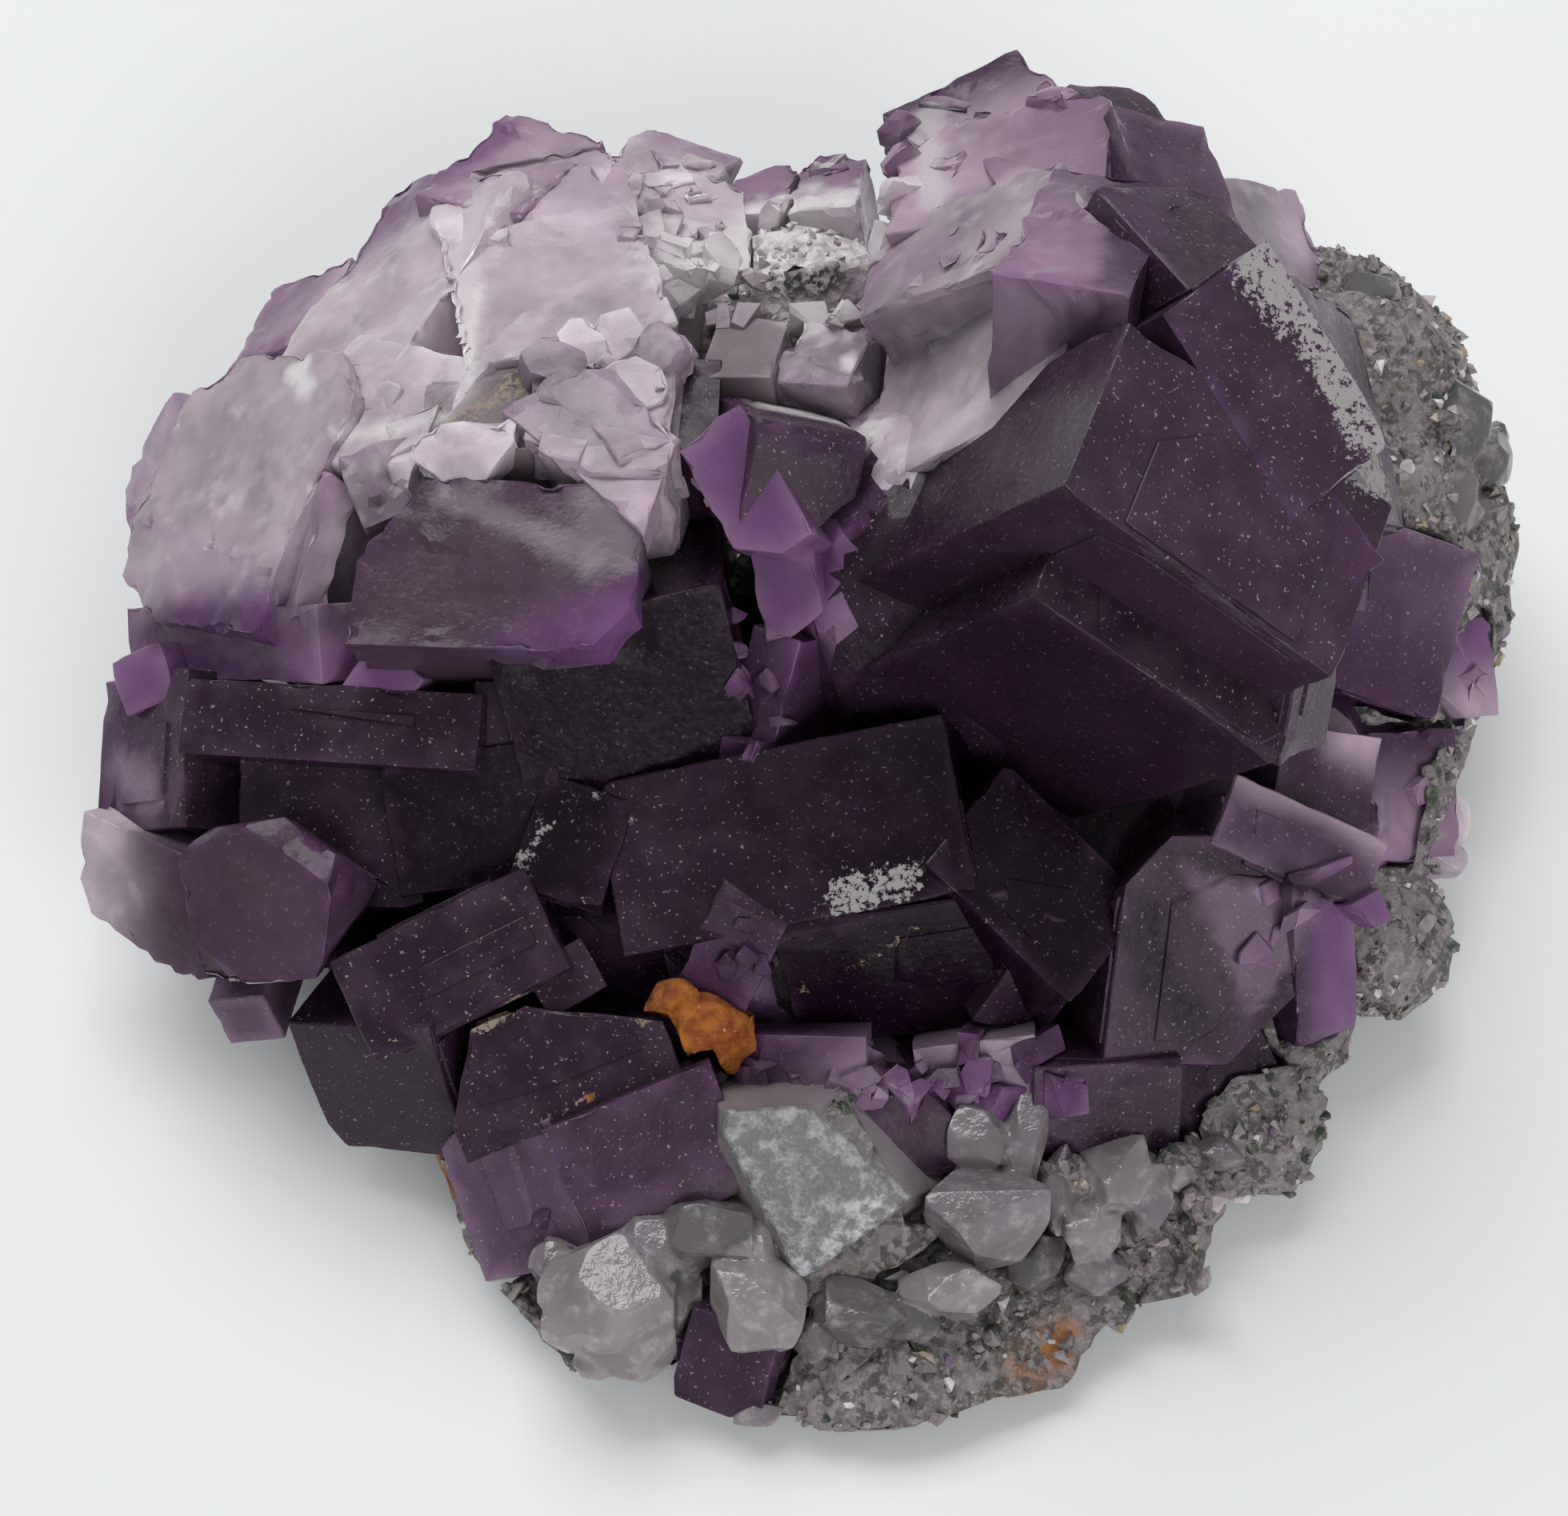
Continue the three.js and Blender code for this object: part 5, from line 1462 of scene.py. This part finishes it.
CUT_SIZE = (200, 200, 100)  # a block that stands for everything below the lowest fluorite
FLUORITE_EDGE, BROKEN_EDGE, ROCK_EDGE, CLAY_EDGE = 1.1, 0.62, 0.8, 0.25  # longest mesh edges
SHARP_CRYSTAL, SHARP_STONE = 24, 38  # edges sharper than this many degrees stay sharp


def cut_box():
    """What lies below the lowest fluorite."""
    bm = bmesh.new()
    bmesh.ops.create_cube(bm, size=1)
    stretch(bm, (0, 0, FOOT - CUT_SIZE[2] / 2), CUT_SIZE)
    return object_from(bm, "foot")


def smooth_shade(mesh, sharp):
    """Shades a mesh smooth, except over edges sharper than an angle in degrees."""
    mesh.polygons.foreach_set("use_smooth", [True] * len(mesh.polygons))
    mesh.set_sharp_from_angle(angle=math.radians(sharp))


shift = frame_shift()
seat = surface_of(cad_copy("fluorite_crystals", shift))
table = dict(CRYSTALS)
table.update((f"druse{k}", one) for k, one in enumerate(small_cubes(seat)))
table.update((f"splinter{k}", one) for k, one in enumerate(splinters()))
blocks, owners = grow_crystals(table)
blocks += [lump_object(middle, radii, f"mass{k}") for k, (middle, radii) in enumerate(MASS)]
body = union(blocks, "fluorite_body", cut_box())
refine(body, FLUORITE_EDGE, owners, BROKEN_EDGE)
paint(body, owners)
roughen(body, owners)
smooth_shade(body, SHARP_CRYSTAL)

rock = cad_copy("quartz_matrix", shift)
refine(rock, ROCK_EDGE)
shrink_cores(rock)
weather(rock, seed=21, coarse=0.28, fine=0.16)
stain(rock)
crust = grains(rock, surface_of(body), GRAIN_COUNT, "rock_crust")
clay = cad_copy("iron_clay", shift)
refine(clay, CLAY_EDGE)
weather(clay, seed=41, coarse=0.10, fine=0.10)
points = quartz_cluster()
frosted = frosted_crystal()

for mesh in (body, rock, crust, clay, points, frosted):
    shift_to_frame(mesh, shift)
for mesh in (rock, clay, points, frosted):
    smooth_shade(mesh, SHARP_STONE)

add_piece(body, "fluorite", "fluorite_crystals", fluorite_material())
add_piece(rock, "rock", "quartz_matrix", rock_material())
add_piece(crust, "rock_grains", None, grain_material())
add_piece(clay, "clay", "iron_clay", clay_material())
add_piece(points, "quartz_points", None, clear_quartz_material())
add_piece(frosted, "frosted_crystal", None, frosted_material())


# Floor, light and camera

AIM = (0, 0, 0.01)  # where the lights point, in metres
SENSOR = 36
FOCAL_PIXELS, PHOTO_WIDTH = 2770, 1960  # the camera's focal length in the photo's pixels
CAMERA_AT = (0, -44, 88.2)  # in the lists' millimetres
CAMERA_TILT = 30  # degrees from straight down


def floor():
    """A plain pale floor."""
    bm = bmesh.new()
    bmesh.ops.create_grid(bm, x_segments=8, y_segments=8, size=1.5)
    plane = object_from(bm, "floor")
    bpy.context.scene.collection.objects.link(plane)
    net = Net("floor")
    net.set("Base Color", net.mix(net.noise(900, 2), (0.79, 0.805, 0.805), (0.81, 0.825, 0.825)))
    net.set("Roughness", 0.9)
    plane.data.materials.append(net.material)


def area_light(name, place, size, power, mirrored=True):
    """A rectangular light that points at the cluster. One that isn't mirrored shows in no reflection."""
    light = bpy.data.lights.new(name, "AREA")
    light.shape = "RECTANGLE"
    light.size, light.size_y = size
    light.energy = power
    lamp = bpy.data.objects.new(name, light)
    lamp.location = place
    lamp.visible_glossy = mirrored
    lamp.rotation_euler = (Vector(AIM) - Vector(place)).to_track_quat("-Z", "Y").to_euler()
    bpy.context.scene.collection.objects.link(lamp)


floor()
area_light("sky_light", (-0.10, 0.30, 0.45), (0.45, 0.30), 2.1)
area_light("front_fill", (0.20, -0.45, 0.25), (0.4, 0.3), 1.7, mirrored=False)
world = bpy.data.worlds.new("studio")
world.use_nodes = True
world.node_tree.nodes["Background"].inputs["Color"].default_value = (0.80, 0.82, 0.84, 1)
world.node_tree.nodes["Background"].inputs["Strength"].default_value = 0.42
bpy.context.scene.world = world
bpy.context.scene.view_settings.view_transform = "Standard"

camera = bpy.data.cameras.new("camera")
camera.sensor_width = SENSOR
camera.lens = SENSOR * FOCAL_PIXELS / PHOTO_WIDTH
camera.clip_start = 0.01
eye = bpy.data.objects.new("camera", camera)
eye.location = (Vector(CAMERA_AT) + Vector(shift)) * MM
eye.rotation_euler = (math.radians(CAMERA_TILT), 0, 0)
bpy.context.scene.collection.objects.link(eye)
bpy.context.scene.camera = eye
